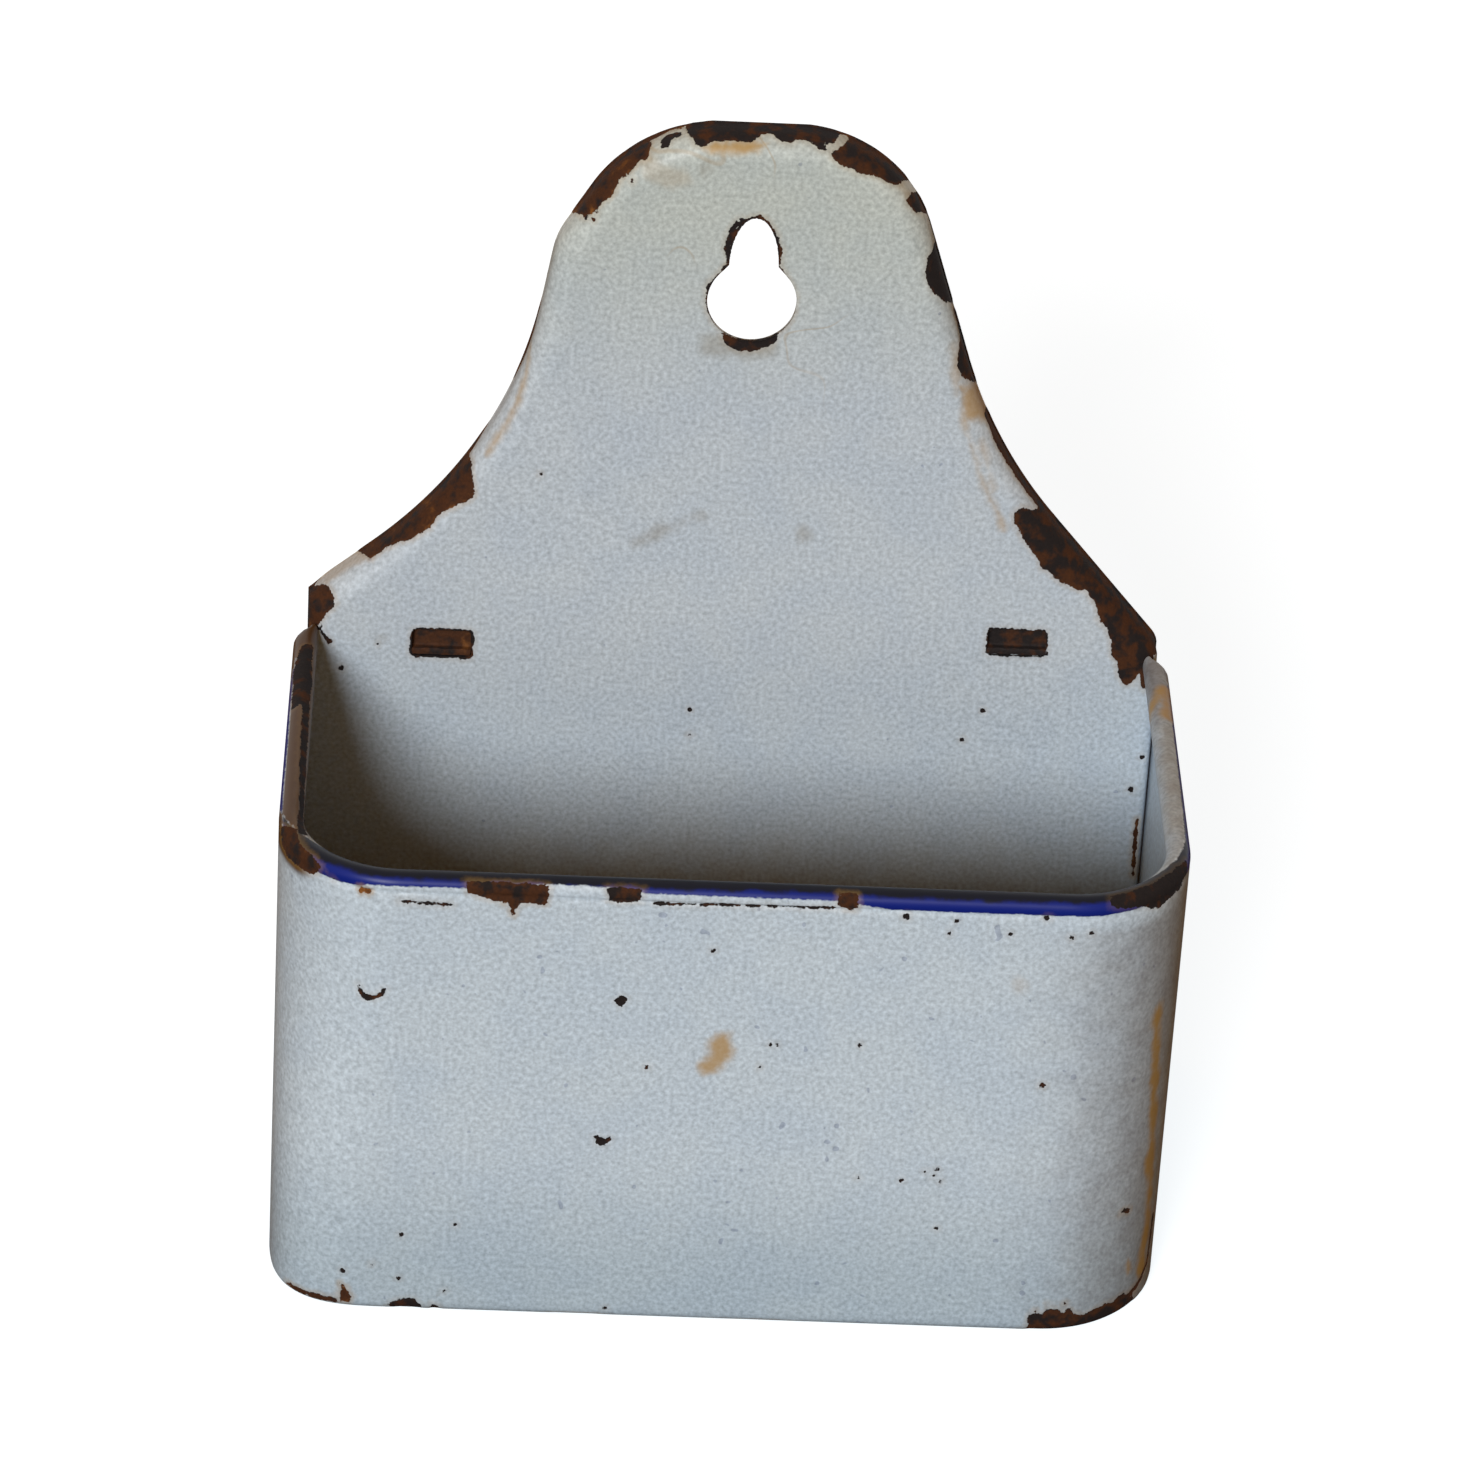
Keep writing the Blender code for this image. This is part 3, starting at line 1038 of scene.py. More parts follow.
def punch(bm: bmesh.types.BMesh, outline: list[Vector], step: float) -> None:
    """Cut a hole with this outline in x and z through the flat face of a sheet.

    Args:
        bm: The mesh.
        outline: The hole's points.
        step: The size of the faces round it.
    """
    front = min(vert.co.y for vert in bm.verts)
    middle = sum(outline, Vector((0, 0))) / len(outline)
    widest = max((point - middle).length for point in outline) + 3 * step
    flat = [face for face in bm.faces if abs(face.verts[0].co.y - front) < step / 10]
    patch = {face for face in flat if (face.calc_center_bounds().xz - middle).length < widest}
    for start, end in zip(outline, outline[1:] + outline[:1]):
        reach = (end - start).length / 2 + 1.5 * step
        near = [face for face in patch if (face.calc_center_bounds().xz - (start + end) / 2).length < reach]
        patch.difference_update(near)
        along = (end - start).normalized()
        result = bmesh.ops.bisect_plane(
            bm, geom=with_parts(near), dist=step / 100, plane_co=Vector((start.x, 0, start.y)),
            plane_no=Vector((along.y, 0, -along.x)),
        )
        patch.update(only(bmesh.types.BMFace, result["geom"]))
    faces = [face for face in patch if face.is_valid]
    centres = np.array([face.calc_center_median().xz for face in faces])
    depths = outline_depth(centres, np.array(outline))
    bmesh.ops.delete(bm, geom=[face for face, depth in zip(faces, depths) if depth > 0], context="FACES")


def refine(bm: bmesh.types.BMesh, centres: list[Vector], reach: float, cuts: int) -> None:
    """Divide the faces near some places more finely.

    Args:
        bm: The mesh.
        centres: The places.
        reach: How far round each place.
        cuts: How many cuts each edge gets.
    """
    tree = KDTree(len(centres))
    for index, centre in enumerate(centres):
        tree.insert(centre, index)
    tree.balance()
    near = {vert for vert in bm.verts if tree.find(vert.co)[2] < reach}
    edges = [edge for edge in bm.edges if near.issuperset(edge.verts)]
    bmesh.ops.subdivide_edges(bm, edges=edges, cuts=cuts, use_grid_fill=True)


def keep_inside(mesh: bpy.types.Mesh, low: Vector, high: Vector) -> None:
    """Press what stands out of a box back to its sides.

    Args:
        mesh: The mesh.
        low: The box's lowest corner.
        high: Its highest corner.
    """
    places = np.empty(len(mesh.vertices) * 3, np.float32)
    mesh.vertices.foreach_get("co", places)
    pressed = np.clip(places.reshape(-1, 3), np.array(low), np.array(high))
    mesh.vertices.foreach_set("co", pressed.astype(np.float32).ravel())
    mesh.update()


def thickened(name: str, bm: bmesh.types.BMesh, thickness: float, edge_radius: float) -> bpy.types.Object:
    """Make an object of an open sheet, give it its thickness and round its free edges.

    Args:
        name: The object's name.
        bm: The open sheet, whose faces look away from the side that is filled.
        thickness: The sheet's thickness.
        edge_radius: How much its edges are rounded.

    Returns:
        The finished object.
    """
    mesh = bpy.data.meshes.new(name)
    bm.to_mesh(mesh)
    bm.free()
    rough = bpy.data.objects.new(name + "_rough", mesh)
    bpy.context.scene.collection.objects.link(rough)
    solidify = rough.modifiers.new("sheet", "SOLIDIFY")
    solidify.thickness = thickness
    solidify.offset = -1
    solidify.use_even_offset = True
    depsgraph = bpy.context.evaluated_depsgraph_get()
    solid = bpy.data.meshes.new_from_object(rough.evaluated_get(depsgraph))
    bpy.data.objects.remove(rough)
    finished = bmesh.new()
    finished.from_mesh(solid)
    rim = [edge for edge in finished.edges if edge.calc_face_angle(0) > math.radians(55)]
    bmesh.ops.bevel(
        finished, geom=rim, offset=edge_radius, affect="EDGES", segments=2, profile=0.5, material=-1,
        clamp_overlap=True,
    )
    finished.to_mesh(solid)
    finished.free()
    solid.shade_smooth()
    solid.name = name
    piece = bpy.data.objects.new(name, solid)
    bpy.context.scene.collection.objects.link(piece)
    return piece


@dataclass(frozen=True)
class Sheet:
    """Sizes that every sheet of the box shares."""

    thickness: float = 0.7 * MM
    edge_radius: float = 0.24 * MM
    step: float = 0.62 * MM


class PlateSkin(Skin):
    """The back plate's skin: flat, with its edge bent back all round."""

    def __init__(self, bm: bmesh.types.BMesh, camera: PhotoCamera, plate: "BackPlate") -> None:
        """Keep the plate's outline and its bend.

        Args:
            bm: The open sheet.
            camera: The camera that marks are seen through.
            plate: The plate.
        """
        super().__init__(bm, camera, plate.front_y)
        self.plate = plate
        self.ring = np.array(densified(plate.outline(), plate.sheet.step))
        along = np.roll(self.ring, -1, axis=0) - np.roll(self.ring, 1, axis=0)
        along /= np.linalg.norm(along, axis=1)[:, None]
        self.outward = np.stack([along[:, 1], -along[:, 0]], axis=1)

    def _unrolled(self, depth: np.ndarray) -> np.ndarray:
        """Give how much further out the bent edge lies once it is rolled out.

        Args:
            depth: How far behind the front face.

        Returns:
            The added length.
        """
        radius = self.plate.bend_radius
        angle = np.arccos(np.clip(1 - depth / radius, 0, 1))
        return radius * (angle - np.sin(angle)) + np.clip(depth - radius, 0, None)

    def _outward_at(self, flat: np.ndarray) -> np.ndarray:
        """Give the way out of the plate at the outline's nearest point."""
        return self.outward[np.argmin(((self.ring - flat) ** 2).sum(axis=1))]

    def chart(self, places: np.ndarray) -> np.ndarray:
        """Roll the bent edge out into the plane of the plate.

        Args:
            places: One row for each place on the skin.

        Returns:
            Two coordinates for each place.
        """
        charted = places[:, [0, 2]].copy()
        depth = np.clip(places[:, 1] - self.front_y, 0, None)
        extra = self._unrolled(depth)
        for index in np.nonzero(depth > 0.02 * MM)[0]:
            charted[index] += self._outward_at(charted[index]) * extra[index]
        return charted

    def missed(self, start: Vector, ray: Vector) -> np.ndarray:
        """Chart a ray that goes through a hole or past the plate's turned-back edge.

        Args:
            start: Where the ray starts.
            ray: Its way.

        Returns:
            Two coordinates in metres.
        """
        front = super().missed(start, ray)
        if outline_depth(front[None], self.ring)[0] > 0:
            return front
        rear = start + ray * (self.plate.high.y - start.y) / ray.y
        flat = np.array((rear.x, rear.z))
        return flat + self._outward_at(flat) * self._unrolled(self.plate.high.y - self.front_y)


@dataclass(frozen=True)
class BellSide:
    """One side of the bell, which was trimmed by hand, so that its two sides differ a little."""

    head_half_width: float
    head_radius: float
    temple_half_width: float
    temple_z: float
    temple_radius: float
    waist_half_width: float
    waist_z: float
    waist_radius: float
    shoulder_z: float
    shoulder_radius: float

    def corners(self, half_width: float, top_z: float) -> list[tuple[float, float, float]]:
        """Give half width, height and fillet of its corners, from the shoulder up."""
        return [
            (half_width, self.shoulder_z, self.shoulder_radius),
            (self.waist_half_width, self.waist_z, self.waist_radius),
            (self.temple_half_width, self.temple_z, self.temple_radius),
            (self.head_half_width, top_z, self.head_radius),
        ]


@dataclass(frozen=True)
class BackPlate:
    """The bell-shaped sheet with its edge turned back, its keyhole and its two slots."""

    sheet: Sheet
    bend_radius: float = 3.0 * MM
    bend_rings: int = 8
    flange_rings: int = 3
    foot_corner: float = 4.0 * MM
    left: BellSide = BellSide(
        head_half_width=14.6 * MM,
        head_radius=18.7 * MM,
        temple_half_width=24.2 * MM,
        temple_z=116.1 * MM,
        temple_radius=11.0 * MM,
        waist_half_width=29.2 * MM,
        waist_z=85.9 * MM,
        waist_radius=59.0 * MM,
        shoulder_z=65.0 * MM,
        shoulder_radius=0,
    )
    right: BellSide = BellSide(
        head_half_width=17.4 * MM,
        head_radius=18.1 * MM,
        temple_half_width=27.5 * MM,
        temple_z=101.1 * MM,
        temple_radius=24.0 * MM,
        waist_half_width=31.6 * MM,
        waist_z=89.0 * MM,
        waist_radius=64.0 * MM,
        shoulder_z=62.6 * MM,
        shoulder_radius=3.5 * MM,
    )
    left_edge_draw: float = 0.55 * MM
    draw_reach: float = 6 * MM
    draw_z: tuple[float, float] = (56 * MM, 59 * MM)
    lobe_radius: float = 5.5 * MM
    lobe_z: float = 110.3 * MM
    lobe_end: float = math.radians(42)
    neck_half_width: float = 3.05 * MM
    neck_foot_z: float = 115.2 * MM
    neck_top_z: float = 121.7 * MM
    slot_width: float = 7.5 * MM
    slot_shift: float = -0.3 * MM
    slot_opening: float = 3.8 * MM
    slot_corner: float = 0.6 * MM
    slot_x: float = 36.2 * MM
    slot_z: float = 62.1 * MM
    slot_skew: float = 1.6 * MM
    seam_bend_radius: float = 0.8 * MM
    seam_top_z: float = 61.5 * MM
    wave: float = 0.16 * MM
    chip_depth: float = 0.1 * MM
    fine_reach: float = 1.1 * MM
    # Painted shade: brown on the plate's lower inside, growing towards the foot.
    lower_painted_shade: float = 0.5
    rear_patina: float = 0.22
    lower_shade_z: tuple[float, float] = (43 * MM, 20 * MM)
    rear_wear: EdgeWear = (-1.0, 1.4, 0.6)
    keyhole_wear: EdgeWear = (-0.5, 0.35, 0.3)
    left_slot_wear: EdgeWear = (-0.05, 0.3, 0.1)
    right_slot_wear: EdgeWear = (-0.05, 0.25, 0.05)
    low: Vector = field(default_factory=lambda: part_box("back_plate")[0])
    high: Vector = field(default_factory=lambda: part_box("back_plate")[1])

    @property
    def front_y(self) -> float:
        """Give the plane of its front face."""
        return self.low.y

    def outline(self) -> list[Vector]:
        """Give the bell, counter-clockwise from its lower right corner.

        Returns:
            The outline's points in x and z.
        """
        half = self.high.x
        foot = (self.low.z, self.foot_corner)
        right = self.right.corners(half, self.high.z)
        left = [(-x, z, radius) for x, z, radius in reversed(self.left.corners(half, self.high.z))]
        return filleted([(half, *foot), *right, *left, (-half, *foot)], self.sheet.step)

    def keyhole(self) -> list[Vector]:
        """Give the keyhole: a round lobe for the nail's head, under a narrow pointed arch.

        Returns:
            The outline's points in x and z.
        """
        lobe = arc((0, self.lobe_z), self.lobe_radius, self.lobe_end, -math.pi - self.lobe_end, 44)
        rise = self.neck_top_z - self.neck_foot_z
        wide = self.neck_half_width
        turns = [math.pi * (1 - i / 20) for i in range(21)]
        return lobe + [Vector((wide * math.cos(t), self.neck_foot_z + rise * math.sin(t))) for t in turns]

    def slot(self, side: int) -> list[Vector]:
        """Give one hinge slot.

        Args:
            side: -1 for the left slot, 1 for the right one.

        Returns:
            The outline's points in x and z.
        """
        x = side * self.slot_x + self.slot_shift
        z = self.slot_z + side * self.slot_skew
        wide = self.slot_width / 2
        high = self.slot_opening / 2
        corners = [(x - wide, z - high), (x + wide, z - high), (x + wide, z + high), (x - wide, z + high)]
        return filleted([(*corner, self.slot_corner) for corner in corners], self.sheet.step)

    def open_sheet(self) -> bmesh.types.BMesh:
        """Press the plate: flange, bend and flat face, then the holes.

        Returns:
            The outer skin, facing the room.
        """
        bm = bmesh.new()
        border = [Vector((x, self.high.y, z)) for x, z in self.outline()]
        flange = self.high.y - self.front_y - self.bend_radius
        face = pressed(
            bm, border, Vector((0, -1, 0)), flange, self.flange_rings, self.bend_radius, self.bend_rings
        )
        divide_runs(bm, self.sheet.step)
        score(bm, score(bm, [face], 0, self.sheet.step), 2, self.sheet.step)
        punch(bm, self.keyhole(), self.sheet.step)
        for side in (-1, 1):
            punch(bm, self.slot(side), self.sheet.step)
        self._tighten_bend(bm)
        self._draw_left_edge(bm)
        face_towards(bm, Vector((0, -1, 0)))
        return bm

    def _draw_left_edge(self, bm: bmesh.types.BMesh) -> None:
        """Draw the left edge in a little between the rim and the shoulder.

        Args:
            bm: The open sheet.
        """
        half = self.high.x
        for vert in bm.verts:
            across = smooth_share(-vert.co.x, half - self.draw_reach, half)
            up = smooth_share(vert.co.z, *self.draw_z)
            over = smooth_share(vert.co.z, self.left.shoulder_z + 3 * MM, self.left.shoulder_z)
            vert.co.x += self.left_edge_draw * (across * up * over)

    def _tighten_bend(self, bm: bmesh.types.BMesh) -> None:
        """Bend the sides more sharply inside the box, where they lie against the strip.

        Args:
            bm: The open sheet.
        """
        wide = self.bend_radius
        tight = self.seam_bend_radius
        flange = self.high.y - self.front_y
        developed = wide * math.pi / 2 + flange - wide
        longer = (wide - tight) + tight * math.pi / 2 + flange - tight
        for vert in bm.verts:
            inside = self.high.x - abs(vert.co.x)
            depth = max(0.0, vert.co.y - self.front_y)
            share = smooth_share(vert.co.z, self.seam_top_z, self.seam_top_z - wide)
            share *= smooth_share(vert.co.z, self.foot_corner, 2 * self.foot_corner)
            if inside > wide * 1.001 or share == 0:
                continue
            angle = math.acos(max(0.0, 1 - depth / wide))
            along = wide * angle + max(0.0, depth - wide)
            along *= longer / developed
            turned = min(max(along - (wide - tight), 0.0) / tight, math.pi / 2)
            across = min(along, wide - tight) + tight * math.sin(turned)
            back = tight * (1 - math.cos(turned)) + max(0.0, along - (wide - tight) - tight * math.pi / 2)
            x = math.copysign(self.high.x - wide + across, vert.co.x)
            vert.co.x += share * (x - vert.co.x)
            vert.co.y += share * (self.front_y + back - vert.co.y)

    def build(self, camera: PhotoCamera, finish: bpy.types.Material) -> bpy.types.Object:
        """Make the plate and dress it.

        Args:
            camera: The camera that its wear is seen through.
            finish: Its material.

        Returns:
            The finished plate.
        """
        bm = self.open_sheet()
        skin = PlateSkin(bm, camera, self)
        refine(bm, skin.hits(PLATE_MARKS), self.fine_reach, 2)
        plate = thickened("enamelled_back_plate", bm, self.sheet.thickness, self.sheet.edge_radius)
        wear = WearMap(skin, plate.data, self.sheet.thickness)
        for mark in PLATE_MARKS:
            wear.add(mark)
        rear = (self.high.y - wear.places[:, 1]) / MM
        wear.edge_wear(rear, *self.rear_wear)
        for outline, edge_wear in (
            (self.keyhole(), self.keyhole_wear),
            (self.slot(-1), self.left_slot_wear),
            (self.slot(1), self.right_slot_wear),
        ):
            wear.edge_wear(-outline_depth(wear.charted, np.array(outline)) / MM, *edge_wear)
        # Painted shade on the lower inside of the front face; grime on the rear.
        lower_painted_shade = self.lower_painted_shade * smooth_share(wear.places[:, 2], *self.lower_shade_z)
        wear.readings[Reading.GRIME_AND_SHADE] = np.where(wear.outer, lower_painted_shade, self.rear_patina)
        wear.write()
        wear.sink_chips(self.chip_depth)
        for vertex in plate.data.vertices:
            swell = noise.noise(Vector((vertex.co.x * 28, 0, vertex.co.z * 28)))
            vertex.co.y += self.wave * swell * min(1, (self.high.y - vertex.co.y) / self.bend_radius)
        keep_inside(plate.data, self.low, self.high)
        plate.data.materials.append(finish)
        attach(plate, BODY)
        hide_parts("back_plate")
        return plate


@dataclass(frozen=True)
class Route:
    """The strip's way round the box: left side, corner, front, corner, right side."""

    half_width: float
    front_y: float
    rear_y: float
    corner: float

    def side(self) -> float:
        """Give the length of a straight side."""
        return self.rear_y - self.front_y - self.corner

    def bend(self) -> float:
        """Give the length round a corner."""
        return math.pi / 2 * self.corner

    def front(self) -> float:
        """Give the length of the straight front."""
        return 2 * (self.half_width - self.corner)

    def locate(self, x: np.ndarray, y: np.ndarray) -> tuple[np.ndarray, np.ndarray]:
        """Measure places along the strip and inwards from its outer face.

        Args:
            x: The places' x.
            y: The places' y.

        Returns:
            How far along the strip each is from its left rear end, and how far inside.
        """
        middle_x = self.half_width - self.corner
        middle_y = self.front_y + self.corner
        outward_x = np.abs(x) - middle_x
        outward_y = middle_y - y
        angle = np.arctan2(outward_y, outward_x)
        on_corner = (outward_x > 0) & (outward_y > 0)
        on_front = (outward_x <= 0) & (outward_y > 0)
        inside = np.where(
            on_corner,
            self.corner - np.hypot(outward_x, outward_y),
            np.where(on_front, self.corner - outward_y, self.corner - outward_x),
        )
        run = np.where(
            on_corner,
            self.side() + self.corner * angle,
            np.where(on_front, self.side() + self.bend() + middle_x - np.abs(x), self.side() + outward_y),
        )
        whole = 2 * (self.side() + self.bend()) + self.front()
        return np.where(x < 0, run, whole - run), inside


class StripSkin(Skin):
    """The body strip's skin, rolled out along its route and up its section."""

    def __init__(self, bm: bmesh.types.BMesh, camera: PhotoCamera, strip: "BodyStrip") -> None:
        """Keep the strip's sizes."""
        super().__init__(bm, camera, strip.low.y)
        self.strip = strip

    def chart(self, places: np.ndarray) -> np.ndarray:
        """Measure along the strip, and up its foot, its wall and round its rim.

        Args:
            places: One row for each place on the skin.

        Returns:
            Two coordinates for each place.
        """
        strip = self.strip
        run, inside = strip.route().locate(places[:, 0], places[:, 1])
        height = places[:, 2]
        centre = strip.high.z - strip.rim_radius
        roll = np.arctan2(height - centre, strip.rim_radius - inside) % (2 * math.pi)
        tucked = (inside > strip.sheet.thickness * 0.9) & (height > centre - 2 * strip.rim_radius)
        rolled = (height > centre) | tucked
        up = np.where(rolled, centre + strip.rim_radius * roll, height)
        bend = strip.foot_bend
        turned = (height < bend) & ~rolled
        around = np.arctan2(bend - height, bend - inside)
        up = np.where(turned, bend - bend * around, up)
        flat = turned & (inside > bend)
        up = np.where(flat, bend - bend * math.pi / 2 - (inside - bend), up)
        return np.stack([run, up], axis=1)

    def missed(self, start: Vector, ray: Vector) -> np.ndarray:
        """Chart a ray that passes below the strip or beside it.

        Args:
            start: Where the ray starts.
            ray: Its way.

        Returns:
            Two coordinates in metres.
        """
        corner = self.strip.corner
        place = start + ray * (self.front_y - start.y) / ray.y
        middle = Vector((math.copysign(self.strip.high.x - corner, place.x), self.front_y + corner))
        beyond = 0.0
        if abs(place.x) > abs(middle.x):
            pace = ray.xy.length
            nearest = (middle - start.xy).dot(ray.xy) / pace**2
            off = (start.xy + ray.xy * nearest - middle).length
            place = start + ray * (nearest - math.sqrt(max(0.0, corner**2 - off**2)) / pace)
            beyond = math.copysign(max(0.0, off - corner), place.x)
        run, _ = self.strip.route().locate(np.array([place.x]), np.array([place.y]))
        return np.array((run[0] + beyond, place.z))


@dataclass(frozen=True)
class BodyStrip:
    """The strip that makes the sides and the front, with its rolled rim and turned-in foot."""

    sheet: Sheet
    corner: float = 15.0 * MM
    rim_radius: float = 1.5 * MM
    rim_roll: float = math.radians(298)
    rim_steps: int = 24
    foot_bend: float = 1.5 * MM
    foot_width: float = 3.5 * MM
    foot_steps: int = 5
    groove_drop: float = 0.65 * MM
    groove_half_width: float = 0.35 * MM
    groove_depth: float = 0.18 * MM
    step: float = 0.8 * MM
    plate_y: float = 27.2 * MM
    notch_z: float = 59.4 * MM
    tuck_radius: float = 3.1 * MM
    tuck_limit: float = 0.9
    chip_depth: float = 0.1 * MM
    fine_reach: float = 1.3 * MM
    foot_wear: EdgeWear = (-0.9, 0.25, 0.6)
    # Painted warm shade on the outer side towards the right corner.
    right_painted_shade: float = 0.5
    right_shade_x: tuple[float, float] = (24 * MM, 56 * MM)
    right_shade_y: tuple[float, float] = (8 * MM, -14 * MM)
    right_shade_rear: float = 0.35
    # The white of both rims is darkened to brown, the right one more towards its rear.
    left_rim_darkening: float = 1.0
    right_rim_darkening: float = 0.4
    right_rim_y: tuple[float, float] = (5 * MM, 20 * MM)
    rim_x: tuple[float, float] = (50 * MM, 52.5 * MM)
    # Grime and painted shade on the inner side, darker towards the bottom.
    inner_grime_and_shade: float = 0.9
    inner_fade: float = 0.6
    inner_z: tuple[float, float] = (5 * MM, 55 * MM)
    clean_right: float = 0.45
    clean_x: tuple[float, float] = (30 * MM, 50 * MM)
    clean_z: tuple[float, float] = (5 * MM, 40 * MM)
    squareness: float = 3.1
    square_z: float = 50 * MM
    low: Vector = field(default_factory=lambda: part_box("body_wall")[0])
    high: Vector = field(default_factory=lambda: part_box("body_wall")[1])

    def route(self) -> Route:
        """Give the strip's way round the box."""
        return Route(self.high.x, self.low.y, self.high.y, self.corner)

    def section(self) -> list[Vector]:
        """Give the outer side of the strip, from the foot's inner edge up and over the rim.

        Returns:
            Points as distance inside the outer face and height.
        """
        bend = self.foot_bend
        centre = self.high.z - self.rim_radius
        foot = [Vector((self.foot_width, 0)), Vector((self.foot_width / 2 + bend / 2, 0))]
        turn = arc((bend, bend), bend, -math.pi / 2, -math.pi, self.foot_steps)
        groove_z = centre - self.groove_drop
        reach = groove_z - self.groove_half_width - bend
        rows = round(reach / self.step)
        wall = [Vector((0, bend + reach * i / rows)) for i in range(1, rows + 1)]
        groove = [Vector((self.groove_depth, groove_z)), Vector((0, groove_z + self.groove_half_width))]
        around = (math.pi, math.pi - self.rim_roll)
        rim = arc((self.rim_radius, centre), self.rim_radius, *around, self.rim_steps)
        return foot + turn + wall + groove + rim

    def open_sheet(self) -> bmesh.types.BMesh:
        """Sweep the section round the box and cut the rim's ends clear of the plate.

        Returns:
            The outer skin, facing out of the box.
        """
        bm = bmesh.new()
        half = self.high.x
        verts = [bm.verts.new((inside - half, self.high.y, z)) for inside, z in self.section()]
        edges = [bm.edges.new(pair) for pair in zip(verts, verts[1:])]
        route = self.route()
        middle_y = self.low.y + self.corner
        for centre_x, angle, travel in (
            (0, 0, Vector((0, -route.side(), 0))),
            (self.corner - half, math.pi / 2, Vector((0, 0, 0))),
            (0, 0, Vector((route.front(), 0, 0))),
            (half - self.corner, math.pi / 2, Vector((0, 0, 0))),
            (0, 0, Vector((0, route.side(), 0))),
        ):
            steps = round((travel.length or angle * self.corner) / self.step)
            swept = bmesh.ops.spin(
                bm, geom=list({vert for edge in edges for vert in edge.verts}) + edges,
                cent=(centre_x, middle_y, 0), axis=(0, 0, 1), dvec=travel / steps, angle=angle, steps=steps,
            )
            edges = only(bmesh.types.BMEdge, swept["geom_last"])
        whole = with_parts(list(bm.faces))
        bmesh.ops.bisect_plane(
            bm, geom=whole, dist=self.step / 100, plane_co=(0, self.plate_y, 0), plane_no=(0, 1, 0)
        )
        behind = [face for face in bm.faces if face.calc_center_median().y > self.plate_y]
        waste = [face for face in behind if face.calc_center_median().z > self.notch_z]
        bmesh.ops.delete(bm, geom=waste, context="FACES")
        self._tuck_ends(bm)
        self._square_left_foot(bm)
        face_towards(bm, Vector((0, -1, 0)))
        return bm

    def _square_left_foot(self, bm: bmesh.types.BMesh) -> None:
        """Push the left corner out towards the foot, where it is less round than at the rim.

        Args:
            bm: The open sheet.
        """
        middle = Vector((self.corner - self.high.x, self.low.y + self.corner))
        for vert in bm.verts:
            out = middle - vert.co.xy
            if out.x > 0 and out.y > 0 and vert.co.z < self.square_z:
                power = 2 + (self.squareness - 2) * float(smooth_share(vert.co.z, self.square_z, 0))
                level = out.normalized()
                stretch = (level.x**power + level.y**power) ** (-1 / power)
                vert.co.xy = middle - out * stretch

    def _tuck_ends(self, bm: bmesh.types.BMesh) -> None:
        """Round the rim's rear ends off from outside, towards the plate's edge.

        Args:
            bm: The open sheet.
        """
        start = self.plate_y - self.tuck_radius
        for vert in bm.verts:
            ahead = min(vert.co.y - start, self.tuck_radius * self.tuck_limit)
            lift = smooth_share(vert.co.z, self.notch_z - 3 * self.rim_radius, self.notch_z)
            if ahead > 0 and lift > 0:
                inside = self.high.x - abs(vert.co.x)
                taper = max(0.0, 1 - inside / (2 * self.rim_radius))
                inward = self.tuck_radius - math.sqrt(self.tuck_radius**2 - ahead**2)
                vert.co.x -= math.copysign(inward * taper * lift, vert.co.x)

    def build(self, camera: PhotoCamera, finish: bpy.types.Material) -> bpy.types.Object:
        """Make the strip and dress it.

        Args:
            camera: The camera that its wear is seen through.
            finish: Its material.

        Returns:
            The finished strip.
        """
        bm = self.open_sheet()
        skin = StripSkin(bm, camera, self)
        refine(bm, skin.hits(STRIP_MARKS), self.fine_reach, 2)
        strip = thickened("enamelled_body_strip", bm, self.sheet.thickness, self.sheet.edge_radius)
        wear = WearMap(skin, strip.data, self.sheet.thickness)
        for mark in STRIP_MARKS:
            wear.add(mark)
        wear.edge_wear(np.abs(wear.charted[:, 1]) / MM, *self.foot_wear)
        wear.readings[Reading.BLUE] = self._blue_distance(wear)
        wear.readings[Reading.GRIME_AND_SHADE] = self._grime_and_shade(wear)
        wear.write()
        wear.sink_chips(self.chip_depth)
        keep_inside(strip.data, self.low, self.high)
        strip.data.materials.append(finish)
        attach(strip, BODY)
        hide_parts("body_wall")
        return strip

    def _blue_distance(self, wear: WearMap) -> np.ndarray:
        """Measure how far inside the blue edge each vertex is.

        Args:
            wear: The strip's measured vertices.

        Returns:
            Millimetres, negative outside the blue.
        """
        centre = self.high.z - self.rim_radius
        pixels, lows, highs = zip(*RIM_BLUE)
        runs = [wear.skin.chart_pixel(pixel)[0] for pixel in pixels]
        low = np.interp(wear.charted[:, 0], runs, lows)
        high = np.interp(wear.charted[:, 0], runs, highs)
        around = (wear.charted[:, 1] - centre) / MM
        return np.where(wear.outer, np.minimum(around - low, high - around), Skin.FAR)

    def _grime_and_shade(self, wear: WearMap) -> np.ndarray:
        """Darken the inner side towards the bottom with grime and painted shade, paint shade on the outer
        side towards the right corner, and darken the rims' white.

        Args:
            wear: The strip's measured vertices.

        Returns:
            A share for each vertex.
        """
        x, y, height = wear.places.T
        inner = self.inner_grime_and_shade - self.inner_fade * smooth_share(height, *self.inner_z)
        inner -= self.clean_right * smooth_share(x, *self.clean_x) * smooth_share(height, *self.clean_z)
        below_rim = smooth_share(height, self.notch_z, self.notch_z - self.rim_radius)
        rear = self.right_shade_rear
        faded = rear + (1 - rear) * smooth_share(y, *self.right_shade_y)
